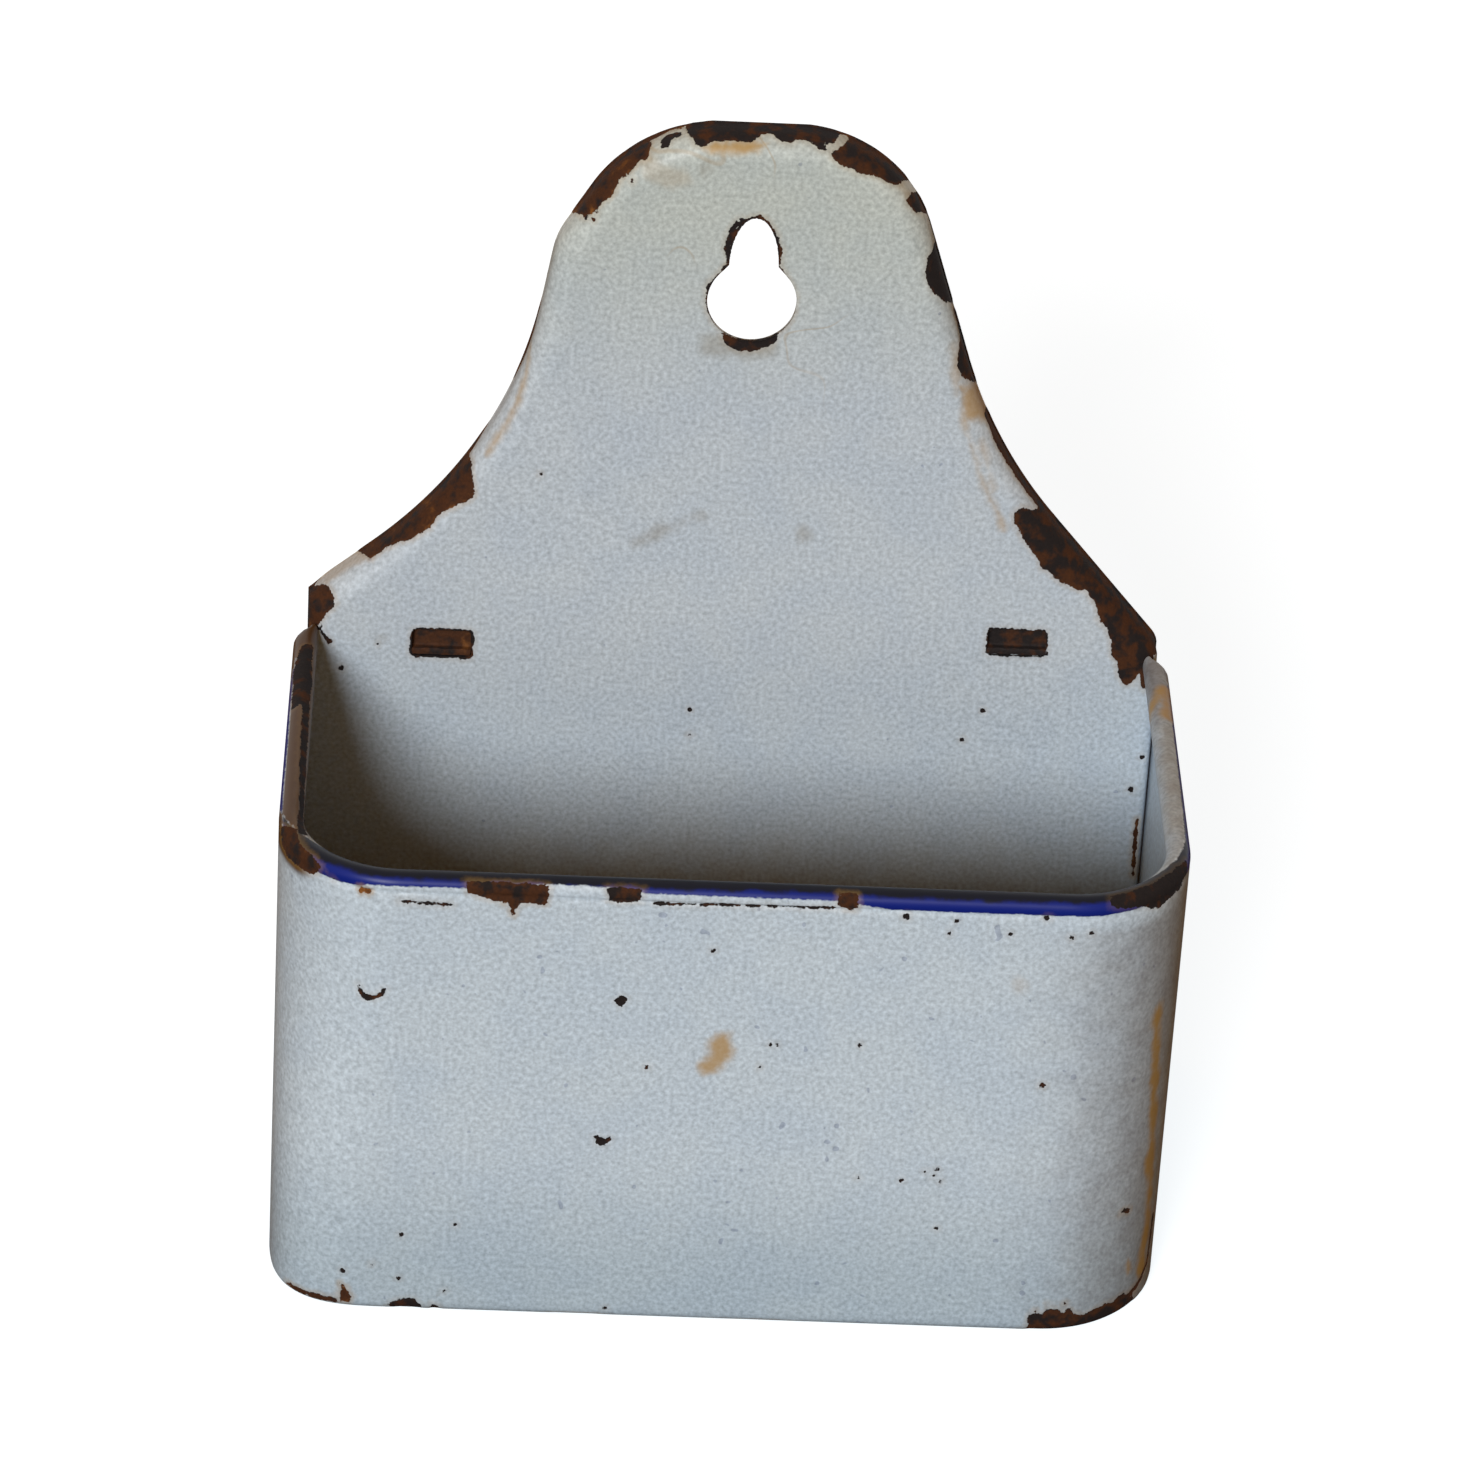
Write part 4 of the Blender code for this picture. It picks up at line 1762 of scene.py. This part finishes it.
        # Painted shade towards the right corner.
        right = self.right_painted_shade * smooth_share(x, *self.right_shade_x) * below_rim * faded
        white_rim = (1 - below_rim) * (wear.readings[Reading.BLUE] < 0)
        left_rim = self.left_rim_darkening * smooth_share(-x, *self.rim_x) * white_rim
        right_rim = self.right_rim_darkening * (1 + 0.5 * smooth_share(y, *self.right_rim_y))
        right_rim = right_rim * smooth_share(x, *self.rim_x) * white_rim
        return np.where(wear.outer, right + left_rim + right_rim, np.maximum(inner, 0))


@dataclass(frozen=True)
class BottomPan:
    """The shallow pan that closes the box below."""

    sheet: Sheet
    bend_radius: float = 1.5 * MM
    bend_rings: int = 4
    front_corner: float = 14.0 * MM
    rear_corner: float = 3.0 * MM
    step: float = 2.0 * MM
    edge_wear: EdgeWear = (-1.0, 2.2, 0.7)
    under_grime: float = 0.15
    # Grime and painted shade on the pan's inside.
    inner_grime_and_shade: float = 0.95
    low: Vector = field(default_factory=lambda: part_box("bottom_plate")[0])
    high: Vector = field(default_factory=lambda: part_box("bottom_plate")[1])

    def open_sheet(self) -> bmesh.types.BMesh:
        """Press the pan with its edge turned up all round.

        Returns:
            Its underside, facing down.
        """
        corners = [
            (self.low.x, self.low.y, self.front_corner),
            (self.high.x, self.low.y, self.front_corner),
            (self.high.x, self.high.y, self.rear_corner),
            (self.low.x, self.high.y, self.rear_corner),
        ]
        bm = bmesh.new()
        border = [Vector((x, y, self.high.z)) for x, y in filleted(corners, self.step)]
        flange = self.high.z - self.low.z - self.bend_radius
        floor = pressed(bm, border, Vector((0, 0, -1)), flange, 1, self.bend_radius, self.bend_rings)
        score(bm, score(bm, [floor], 0, self.step), 1, self.step)
        face_towards(bm, Vector((0, 0, -1)))
        return bm

    def build(self, camera: PhotoCamera, finish: bpy.types.Material) -> bpy.types.Object:
        """Make the pan and dress it.

        Args:
            camera: The camera of the photograph.
            finish: Its material.

        Returns:
            The finished pan.
        """
        bm = self.open_sheet()
        skin = FlatSkin(bm, camera, self.low.y)
        pan = thickened("enamelled_bottom_pan", bm, self.sheet.thickness, self.sheet.edge_radius)
        wear = WearMap(skin, pan.data, self.sheet.thickness)
        x, y, _ = wear.places.T
        edge = np.min([x - self.low.x, self.high.x - x, y - self.low.y, self.high.y - y], axis=0)
        wear.edge_wear(edge / MM, *self.edge_wear)
        wear.readings[Reading.GRIME_AND_SHADE] = np.where(wear.outer, self.under_grime, self.inner_grime_and_shade)
        wear.write()
        keep_inside(pan.data, self.low, self.high)
        pan.data.materials.append(finish)
        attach(pan, BODY)
        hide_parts("bottom_plate")
        return pan


class FlatSkin(Skin):
    """A flat sheet's skin, charted by its x and y."""

    def chart(self, places: np.ndarray) -> np.ndarray:
        """Take the places' x and y as they are."""
        return places[:, :2]


@dataclass(frozen=True)
class HingeTongue:
    """The stub of one of the lid's tongues: it lies in its slot and is bent up behind the plate."""

    node: str
    thickness: float = 0.8 * MM
    wider_left: float = 0.35 * MM
    flare: float = 1.3
    bend_radius: float = 1.1 * MM
    bend_steps: int = 8
    step: float = 0.4 * MM
    edge_radius: float = 0.12 * MM
    ragged: float = 0.12 * MM

    def build(self, finish: bpy.types.Material) -> bpy.types.Object:
        """Make the stub and dress it.

        Args:
            finish: Its material.

        Returns:
            The finished stub.
        """
        low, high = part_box(self.node)
        low = low - Vector((self.wider_left, 0, 0))
        bm = bmesh.new()
        radius = self.bend_radius
        bend = arc((high.y - radius, low.z + radius), radius, -math.pi / 2, 0, self.bend_steps)
        rise = high.z - low.z - radius
        rows = round(rise / self.step)
        upright = [Vector((high.y, low.z + radius + rise * i / rows)) for i in range(1, rows + 1)]
        section = [Vector((low.y, low.z))] + bend + upright
        verts = [bm.verts.new((low.x, y, z)) for y, z in section]
        edges = [bm.edges.new(pair) for pair in zip(verts, verts[1:])]
        width = high.x - low.x
        steps = round(width / self.step)
        bmesh.ops.spin(
            bm, geom=verts + edges, cent=(0, 0, 0), axis=(0, 0, 1), dvec=(width / steps, 0, 0), angle=0,
            steps=steps,
        )
        face_towards(bm, Vector((0, 1, 0)))
        middle = (low.x + high.x) / 2
        for vert in bm.verts:
            behind = smooth_share(vert.co.y, high.y - radius, high.y - radius / 2)
            vert.co.x += (vert.co.x - middle) * (self.flare - 1) * behind
            if vert.is_boundary:
                inward = (Vector((middle, vert.co.y, (low.z + high.z) / 2)) - vert.co).normalized()
                vert.co += inward * self.ragged * (0.5 + noise.noise(vert.co * 900))
        piece = thickened("rusted_" + self.node, bm, self.thickness, self.edge_radius)
        room = Vector((width * (self.flare - 1) / 2, 0, 0))
        keep_inside(piece.data, low - room, high + room)
        piece.data.materials.append(finish)
        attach(piece, BODY)
        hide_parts(self.node)
        return piece


@dataclass(frozen=True)
class Studio:
    """Plain soft light from the front left, a pale floor, and a warm dim room round the box."""

    key_azimuth: float = math.radians(-16.5)
    key_elevation: float = math.radians(23.0)
    key_strength: float = 3.05
    key_angle: float = math.radians(18)
    room: Colour = (0.36, 0.19, 0.06)
    mat: Colour = (0.12, 0.055, 0.015)
    mat_size: float = 0.8
    mat_z: float = 0.3 * MM
    floor_size: float = 6.0
    floor_seen: float = 0.40
    floor_bounce: float = 0.08
    floor_glow: Colour = (0.80, 0.87, 0.92)

    def build(self) -> None:
        """Make the lamp, the world, the floor and the mat."""
        self._key()
        self._world()
        self._floor()
        self._mat()

    def _key(self) -> None:
        """Hang the soft key."""
        data = bpy.data.lights.new("key", "SUN")
        data.energy = self.key_strength
        data.angle = self.key_angle
        lamp = bpy.data.objects.new("key", data)
        lamp.location = way_out(self.key_azimuth, self.key_elevation)
        lamp.rotation_euler = lamp.location.to_track_quat("Z", "Y").to_euler()
        bpy.context.scene.collection.objects.link(lamp)

    @staticmethod
    def _seen_share(graph: Graph) -> bpy.types.NodeSocket:
        """Give 1 for rays that show the background, seen straight, mirrored or through glass."""
        rays = graph.node("ShaderNodeLightPath").outputs
        seen = graph.math("MAXIMUM", rays["Is Camera Ray"], rays["Is Glossy Ray"])
        return graph.math("MAXIMUM", seen, rays["Is Transmission Ray"])

    def _world(self) -> None:
        """Make the room: white where it is seen, dim and warm where it lights."""
        world = bpy.data.worlds.new("room")
        world.use_nodes = True
        bpy.context.scene.world = world
        graph = Graph(world.node_tree)
        backdrop = world.node_tree.nodes["Background"]
        colour = graph.blend(self._seen_share(graph), self.room, (1.0, 1.0, 1.0))
        graph.feed(backdrop.inputs["Color"], colour)

    def _floor(self) -> None:
        """Lay the floor, white where the key reaches it."""
        graph, surface = self._ground("floor", self.floor_size, 0)
        diffuse = graph.node("ShaderNodeBsdfDiffuse")
        seen = self._seen_share(graph)
        tone = graph.blend(seen, (self.floor_bounce,) * 3, (self.floor_seen,) * 3)
        graph.feed(diffuse.inputs["Color"], tone)
        glow = graph.node("ShaderNodeEmission")
        graph.feed(glow.inputs["Color"], self.floor_glow)
        graph.feed(glow.inputs["Strength"], seen)
        both = graph.node("ShaderNodeAddShader")
        graph.feed(both.inputs[0], diffuse.outputs[0])
        graph.feed(both.inputs[1], glow.outputs[0])
        graph.feed(surface, both.outputs[0])

    def _mat(self) -> None:
        """Lay a warm brown mat under the box, which only reflections show."""
        graph, surface = self._ground("mat", self.mat_size, self.mat_z)
        glow = graph.node("ShaderNodeEmission")
        graph.feed(glow.inputs["Color"], self.mat)
        graph.feed(surface, glow.outputs[0])
        mat = bpy.data.objects["mat"]
        mat.visible_camera = False
        mat.visible_diffuse = False
        mat.visible_shadow = False

    @staticmethod
    def _ground(name: str, size: float, height: float) -> tuple[Graph, bpy.types.NodeSocket]:
        """Lay a level square as a part of the stage.

        Args:
            name: Its name.
            size: The length of its sides.
            height: How high it lies.

        Returns:
            The empty node tree of its material, and the socket that its surface goes to.
        """
        bm = bmesh.new()
        bmesh.ops.create_grid(bm, x_segments=1, y_segments=1, size=size / 2)
        bmesh.ops.translate(bm, verts=bm.verts, vec=(0, 0, height))
        mesh = bpy.data.meshes.new(name)
        bm.to_mesh(mesh)
        bm.free()
        square = bpy.data.objects.new(name, mesh)
        bpy.context.scene.collection.objects.link(square)
        material = new_material(name)
        mesh.materials.append(material)
        nodes = material.node_tree.nodes
        nodes.remove(nodes["Principled BSDF"])
        return Graph(material.node_tree), nodes["Material Output"].inputs["Surface"]


# How far the rim's blue glaze reaches: a pixel on the rim, and there the two limits of the blue in
# millimetres round the roll, which has its outermost line at 0, its top at 2.4 and its inner side
# at 4.7. Where both limits are the same there is no blue.
RIM_BLUE = (
    # The left side
    ((297, 652), 1.5, 1.5),
    ((296, 700), -0.3, 1.0),
    ((289, 745), -0.5, 1.1),
    ((286, 792), -0.3, 1.0),
    ((284, 815), 1.2, 1.3),
    # The left corner
    ((316, 862), -0.5, 3.6),
    ((340, 876), -0.6, 3.6),
    ((380, 886), 0.2, 3.6),
    # The front
    ((430, 889), 0.3, 3.6),
    ((466, 888), 0.3, 3.6),
    # From here to pixel 835 the blue stops above the roll's outer line; the white under it is partly bare
    # white glaze and partly a painted highlight.
    ((552, 892), 1.2, 3.6),
    ((606, 895), 1.1, 3.6),
    ((646, 897), 0.5, 3.8),
    ((835, 902), 0.45, 3.8),
    ((862, 903), 0.1, 3.8),
    ((890, 905), -0.5, 3.9),
    ((1105, 908), -0.5, 3.9),
    # The right corner
    ((1150, 897), -0.4, 3.6),
    # The right side
    ((1181, 835), -0.4, 1.4),
    ((1176, 780), -0.5, 1.2),
    ((1168, 715), -0.3, 1.1),
    ((1160, 670), 1.3, 1.3),
)

CHIP_AND_SHADE = Kind.CHIP_AND_SHADE
STAIN_AND_SHADE = Kind.STAIN_AND_SHADE
SMUDGE = Kind.SMUDGE

HEAD_MARKS = (
    area(
        "left chip", CHIP_AND_SHADE, 0.5, (566, 212), (572, 190), (586, 170), (604, 150), (624, 135), (643, 134),
        (652, 144), (648, 158), (639, 160), (634, 165), (631, 171), (620, 179), (617, 185), (613.5, 193),
        (603.5, 202), (598, 208), (592, 212), (584, 217), (579, 213),
    ),
    spots("below the left chip", CHIP_AND_SHADE, 0.2, 4, (586, 217), (594, 220), (632, 181), (597, 212)),
    area(
        "blue-black chip", CHIP_AND_SHADE, 0.05, (661, 139), (666, 135.5), (675, 133), (682, 132), (682, 135),
        (673.5, 137.5), (671, 140), (668, 147), (662, 148),
    ),
    area(
        "band along the top", CHIP_AND_SHADE, 0.18, (686, 130), (690, 114), (720, 108), (768, 108), (800, 112),
        (828, 118), (842, 128), (836, 140), (833, 143.5), (824, 141.6), (828, 151.5), (820, 150),
        (811, 141), (797, 138), (793, 143.5), (782, 142), (773, 134), (764, 133), (755, 140), (751, 142.5),
        (738.6, 142), (726, 140), (713, 140.6), (709, 144), (703, 147), (696.5, 145.7), (694, 139),
        (689, 134),
    ),
    area(
        "ochre stain", STAIN_AND_SHADE, 0.85, (705, 147.5), (714, 141.6), (727.5, 142.7), (744, 143.5), (754, 141.6),
        (768, 143.5), (760, 149), (746, 154), (727.5, 153), (711, 153),
    ),
    area(
        "cream stain", STAIN_AND_SHADE, 0.22, (640, 160), (655, 152), (664, 166), (690, 170), (696, 182), (684, 186),
        (664, 186), (650, 184), (640, 172),
    ),
    spots("tan spots", STAIN_AND_SHADE, 0.3, 9, (648, 167), (646, 160)),
    spots("grey spots", SMUDGE, 0.5, 12, (707, 167), (702, 172)),
    area(
        "right chip", CHIP_AND_SHADE, 0.3, (832, 153), (840, 147.5), (848, 140), (852, 130), (868, 130), (890, 140),
        (906, 152), (916, 164), (918, 178), (902, 181), (896, 186), (888, 182), (875, 175.6), (860, 173),
        (848, 167.6), (839, 162), (832, 158),
    ),
    line("tan line below it", STAIN_AND_SHADE, 0.35, 10, (902, 188), (911, 198)),
    area(
        "small right chip", CHIP_AND_SHADE, 0.3, (907, 198), (911, 193), (918, 191), (928, 196), (934, 212),
        (926, 214), (915, 212), (908, 204),
    ),
    area(
        "black right chip", CHIP_AND_SHADE, 0.02, (926, 271), (928, 257), (934, 243), (942, 240), (952, 252),
        (958, 272), (963, 290), (962, 304), (952, 303), (944.5, 302), (934, 293.5), (927, 283),
    ),
)

KEYHOLE_MARKS = (
    line(
        "left of the neck", CHIP_AND_SHADE, 0.15, 6, (728, 259), (728, 250), (728.5, 240.5), (732, 231), (736, 224),
        (742, 220),
    ),
    line("right of the neck", CHIP_AND_SHADE, 0.2, 7, (758, 218), (766, 224), (772, 232), (776, 241), (778.7, 254)),
    spots("left of the lobe", CHIP_AND_SHADE, 0.1, 4, (709, 288), (706, 302.5)),
    area(
        "below the lobe", CHIP_AND_SHADE, 0.12, (720, 331), (730.5, 336), (744, 338), (758, 338), (772, 334),
        (779, 331), (776, 340), (771, 346), (760, 350), (748, 351), (737, 350), (729, 346), (723, 341),
    ),
    area(
        "grey round it", SMUDGE, 0.5, (697, 336), (712, 331), (722, 335), (748, 340), (778, 333),
        (779, 346), (772, 357), (750, 360), (730, 358), (712, 356), (699, 352),
    ),
)

SHOULDER_MARKS = (
    area(
        "dark sliver at the waist", CHIP_AND_SHADE, 0.3, (953, 310), (957, 322), (960, 337), (959, 350), (957.5, 366),
        (962, 376), (969, 381), (974, 382), (990, 384), (986, 360), (976, 332), (966, 308),
    ),
    line("yellow-green line", STAIN_AND_SHADE, 0.35, 9, (953, 345), (955, 362), (956, 378), (957, 395)),
    area(
        "tan patch at the waist", STAIN_AND_SHADE, 0.75, (958, 384), (980, 384), (992, 412), (986, 424), (966, 418),
        (960, 400),
    ),
    line(
        "ochre crease", STAIN_AND_SHADE, 0.55, 5, (962, 400), (965, 423), (972, 450), (980, 475), (989, 497),
        (1000, 517), (1004, 530),
    ),
    line("second crease", STAIN_AND_SHADE, 0.35, 4, (981, 440), (987, 463), (993, 488)),
    area(
        "dark edge above the shoulder", CHIP_AND_SHADE, 0.45, (984, 413), (993, 436), (1004, 458), (1015, 475),
        (1027, 492), (1041, 510), (1060, 497), (1046, 473), (1028, 448), (1012, 425), (998, 405),
    ),
    area(
        "right shoulder", CHIP_AND_SHADE, 0.32, (1020.5, 507), (1013, 515), (1016, 526), (1022.6, 537), (1029, 547),
        (1035, 556), (1039.4, 560.4), (1041.5, 570), (1048, 571), (1054, 578), (1064, 584), (1076, 588.5),
        (1087, 590.5), (1093, 599.4), (1098, 608), (1098, 619.4), (1108, 629), (1112, 641.5), (1111, 656),
        (1118, 661.5), (1117, 671), (1123.6, 683.6), (1130, 685.7), (1135, 679), (1140.4, 673),
        (1141.5, 686), (1145.7, 692), (1150, 681), (1153, 667), (1157, 660), (1166, 652), (1172, 636),
        (1164, 618), (1148, 598), (1124, 568), (1098, 536), (1072, 504), (1058, 484), (1044, 500),
        (1036, 510),
    ),
    area(
        "left shoulder", CHIP_AND_SHADE, 0.5, (472.5, 462.4), (470.8, 471), (475, 486.5), (473.4, 496.8),
        (470, 499.4), (459.6, 504.6), (445, 511.5), (436, 517), (430, 527), (416, 537), (400, 541.6),
        (386.4, 547.6), (376, 554.5), (371, 559), (362, 553), (348, 546), (381, 514), (411, 486),
        (442, 454), (462, 446),
    ),
    area(
        "peach patch", STAIN_AND_SHADE, 0.35, (314, 574), (338, 551), (357, 546), (371, 553.7), (372.7, 558.8),
        (362, 564), (350, 567.4), (336.5, 576), (327, 583),
    ),
    area(
        "left corner", CHIP_AND_SHADE, 0.35, (298, 587), (311.5, 586.4), (325, 583.5), (331, 590), (334, 596),
        (335, 602.7), (331.3, 609.6), (326, 614.8), (322.7, 618.2), (318.4, 625), (311.5, 631),
        (298, 634.6),
    ),
    line("scratch below the corner", CHIP_AND_SHADE, 0.1, 4.5, (320, 629.4), (330, 642.3)),
    line("scratch at the edge", CHIP_AND_SHADE, 0.1, 3, (311, 634), (322, 626)),
    area(
        "black patch at the left seam", CHIP_AND_SHADE, 0.05, (298, 640), (311, 643), (315, 655), (314, 662),
        (308, 664), (298, 660),
    ),
    line(
        "dark crease of the left waist", STAIN_AND_SHADE, 0.6, 4, (531, 345), (526, 375), (517, 402), (503, 430),
        (486, 455),
    ),
    spots("grey spot at the left", SMUDGE, 0.5, 9, (380.4, 636.3)),
    spots("speck at the left", CHIP_AND_SHADE, 0.05, 3, (377.8, 644)),
    spots("blue dot", CHIP_AND_SHADE, 0.0, 6, (341.7, 667.7)),
)

FIELD_MARKS = (
    line("long smudge", SMUDGE, 0.5, 14, (640, 541), (665, 530), (700, 516)),
    spots("round smudge", SMUDGE, 0.5, 16, (805, 535)),
    spots("specks", CHIP_AND_SHADE, 0.05, 4, (540, 475), (983, 711), (962, 740), (690, 710), (690, 735)),
    spots("at the right seam", CHIP_AND_SHADE, 0.0, 6, (1142, 757), (1131, 790)),
    line("crack of the right seam", CHIP_AND_SHADE, 0.5, 3.5, (1137, 820), (1135, 845), (1133, 875)),
    area("tan beside the seam", STAIN_AND_SHADE, 0.35, (1135, 857), (1155, 855), (1153, 873), (1136, 878)),
)

WALL_MARKS = (
    line("arc", CHIP_AND_SHADE, 0.02, 5, (359, 986), (361, 993), (367, 998), (375, 997), (382, 994), (384, 990)),
    area(
        "dark chip", CHIP_AND_SHADE, 0.0, (614, 1001), (620, 996), (627, 998), (625, 1003), (620, 1008), (617, 1004),
    ),
    area(
        "low dark chip", CHIP_AND_SHADE, 0.0, (594, 1135), (603, 1139), (611, 1137), (609, 1144), (603, 1147),
        (596, 1144),
    ),
    spots("right speck", CHIP_AND_SHADE, 0.1, 5, (1042, 1085)),
    line("right hook", CHIP_AND_SHADE, 0.3, 3.5, (1120, 1214), (1124, 1210), (1129, 1211)),
    area(
        "ochre spot", STAIN_AND_SHADE, 0.8, (708, 1040), (716, 1033), (730, 1034), (732, 1050), (728, 1066),
        (718, 1074), (704, 1076), (698, 1068), (706, 1058),
    ),
    spots("pale spot", STAIN_AND_SHADE, 0.18, 22, (1020, 985)),
    spots(
        "specks", CHIP_AND_SHADE, 0.0, 4.2, (647, 1067), (777, 1045), (760, 1067), (771, 1045), (860, 1045),
        (858, 1178), (902, 1180), (925, 1172), (933, 1176), (940, 1182), (937, 1170), (937, 1228),
        (950, 933), (1010, 934), (1072, 938), (1092, 933), (957, 921), (714, 951), (605, 1308),
        (444, 1291.5), (398, 1278),
    ),
    spots("blue specks", CHIP_AND_SHADE, 0.0, 4.5, (455.6, 1225), (401.6, 1234.6), (342.7, 1271), (372, 1264)),
    spots("below the rim", CHIP_AND_SHADE, 0.1, 6, (906.6, 916.5), (1047.6, 918)),
)

FOOT_MARKS = (
    line("left corner", CHIP_AND_SHADE, 0.5, 4, (288, 1285), (300, 1291), (318, 1297), (335, 1300)),
    area(
        "left drop", CHIP_AND_SHADE, 0.6, (339.9, 1282.4), (344.8, 1286.6), (351.8, 1297), (349, 1302), (340.6, 1302),
        (338.5, 1293.6), (342, 1289.4),
    ),
    area(
        "dark patch", CHIP_AND_SHADE, 0.1, (386.9, 1304.8), (393.9, 1301.3), (402.3, 1299.9), (409.3, 1297.8),
        (414.9, 1299.2), (420.6, 1304.8), (422, 1313), (409, 1318), (396, 1315),
    ),
    area(
        "second patch", CHIP_AND_SHADE, 0.2, (427.6, 1307.6), (432.5, 1302.7), (436.7, 1304.8), (438.8, 1309),
        (443, 1314), (430, 1318),
    ),
    area(
        "right corner", CHIP_AND_SHADE, 0.25, (1027.6, 1322), (1028.8, 1316), (1034.8, 1312.4), (1043.3, 1315.4),
        (1047, 1310), (1046.3, 1302.7), (1049.4, 1305), (1053.6, 1312.4), (1057.9, 1308.8),
        (1062.7, 1313.6), (1068.8, 1308.8), (1074.8, 1313.6), (1085.7, 1314.8), (1093, 1310),
        (1102.7, 1306.3), (1106.3, 1302.7), (1113.6, 1302.7), (1118.4, 1296.6), (1124.5, 1293),
        (1127, 1296), (1138, 1300), (1127, 1314), (1113, 1326), (1090, 1337), (1060, 1343), (1025, 1341),
    ),
    spots("above it", CHIP_AND_SHADE, 0.3, 4, (1064.5, 1303.3), (1035.4, 1312)),
    line(
        "up the right corner", CHIP_AND_SHADE, 0.45, 7, (1128, 1296), (1140, 1280), (1147, 1262), (1150, 1240),
        (1153, 1215),
    ),
    # Painted warm shade down the right corner, drawn as a stain.
    line(
        "painted shade down the right corner", STAIN_AND_SHADE, 0.85, 17, (1141, 1268), (1148, 1220), (1151, 1150), (1155, 1080),
        (1158, 1010),
    ),
    line("beside it", STAIN_AND_SHADE, 0.9, 4, (1128, 1259), (1128, 1273)),
)

RIM_MARKS = (
    area(
        "rust before the left corner", CHIP_AND_SHADE, 0.4, (281, 826), (281, 842), (288, 858), (300, 868),
        (315, 875), (322, 866), (313, 856), (300, 842), (296, 828),
    ),
    area(
        "rust left of the middle", CHIP_AND_SHADE, 0.4, (466, 881), (500, 882), (548, 884.5), (549, 896), (544, 905),
        (520, 903), (514, 914), (508, 903), (490, 900), (468, 893),
    ),
    line("drip", CHIP_AND_SHADE, 0.6, 4, (512, 903), (513, 914)),
    spots("drops", CHIP_AND_SHADE, 0.6, 5, (504, 903), (544, 903)),
    area("dark gap", CHIP_AND_SHADE, 0.25, (608, 887), (643, 889), (641, 901), (622, 903), (608, 900)),
    area("break", CHIP_AND_SHADE, 0.4, (838, 892), (857, 893), (859, 906), (856, 911), (846, 909), (838, 905)),
    line("below the left", CHIP_AND_SHADE, 0.1, 4, (400, 901), (425, 903), (451, 905)),
    spots("orange spots", CHIP_AND_SHADE, 0.9, 6, (362, 890), (368, 891)),
    spots("speck", CHIP_AND_SHADE, 0.1, 4, (333.6, 879)),
    area(
        "dark right corner", CHIP_AND_SHADE, 0.05, (1111, 896), (1142, 887), (1163, 877), (1180, 864), (1186, 860),
        (1185, 880), (1172, 896), (1159, 908), (1142, 907), (1120, 909), (1111, 906),
    ),
    area(
        "left rear end", CHIP_AND_SHADE, 0.12, (291, 712), (292.5, 690), (294, 670), (298, 654), (301, 646),
        (313, 645), (312, 680), (308, 712), (300, 704),
    ),
    # A dark line under the rim's roll, partly painted shade in the groove below it.
    line("dark line and painted shade below", CHIP_AND_SHADE, 0.05, 2.2, (655, 903.8), (740, 904.8), (836, 908)),
    line("grey over the right", SMUDGE, 0.5, 16, (1166, 730), (1170, 780), (1173, 830)),
    # Painted shade along the inner side of the left rim, drawn as dark iron.
    line(
        "painted shade on the inner side of the left", CHIP_AND_SHADE, 0.1, 9, (309, 655), (307, 700), (303.5, 760), (302, 815),
        (304, 833),
    ),
)

SEAM_STRIP = line("tan strip at the right seam", STAIN_AND_SHADE, 0.9, 15, (1163, 662), (1166, 690), (1169, 718))

PLATE_MARKS: tuple[Mark, ...] = (*HEAD_MARKS, *KEYHOLE_MARKS, *SHOULDER_MARKS, *FIELD_MARKS, SEAM_STRIP)
STRIP_MARKS: tuple[Mark, ...] = (*WALL_MARKS, *FOOT_MARKS, *RIM_MARKS, SEAM_STRIP)


def main() -> None:
    """Build the box piece by piece and report each one."""
    logging.basicConfig(level=logging.INFO, format="%(name)s: %(message)s")
    bpy.context.scene.view_settings.view_transform = "Standard"
    camera = PhotoCamera()
    camera.create()
    Studio().build()
    effects = Effects()
    sheet = Sheet()
    glaze = GlazeFinish(
        "white glaze",
        effects,
        glaze=linear(173, 186, 197),
        cloud=linear(165, 180, 195),
        # Brown for grime and for the painted shade on the plate's lower inside.
        grime_and_shade=linear(120, 102, 58),
        # Painted shade: the plate's glaze darkens from above the rim down into the box.
        foot_shade_tint=(0.92, 0.92, 0.92),
        foot_shade_z=(72 * MM, 52 * MM),
    ).build()
    rim_glaze = GlazeFinish("white glaze with blue rim", effects, is_strip=True).build()
    rust = IronFinish("rusted steel", effects, rust=0.5).build()
    # Painted shade: the right stub gets a darker rusted steel than the left.
    shaded_rust = IronFinish("rusted steel in painted shade", effects, rust=0.22).build()
    pieces = [
        BackPlate(sheet).build(camera, glaze),
        BodyStrip(sheet).build(camera, rim_glaze),
        BottomPan(sheet).build(camera, glaze),
        HingeTongue("hinge_tongue_left").build(rust),
        HingeTongue("hinge_tongue_right").build(shaded_rust),
    ]
    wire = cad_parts["rim_wire"]
    wire.data.materials.clear()
    iron = IronFinish("iron wire", effects, rust=0.3, metallic=0.8, roughness=0.5).build()
    wire.data.materials.append(iron)
    for piece in pieces:
        LOG.info("%s: %d faces", piece.name, len(piece.data.polygons))


if __name__ == "__main__":
    main()
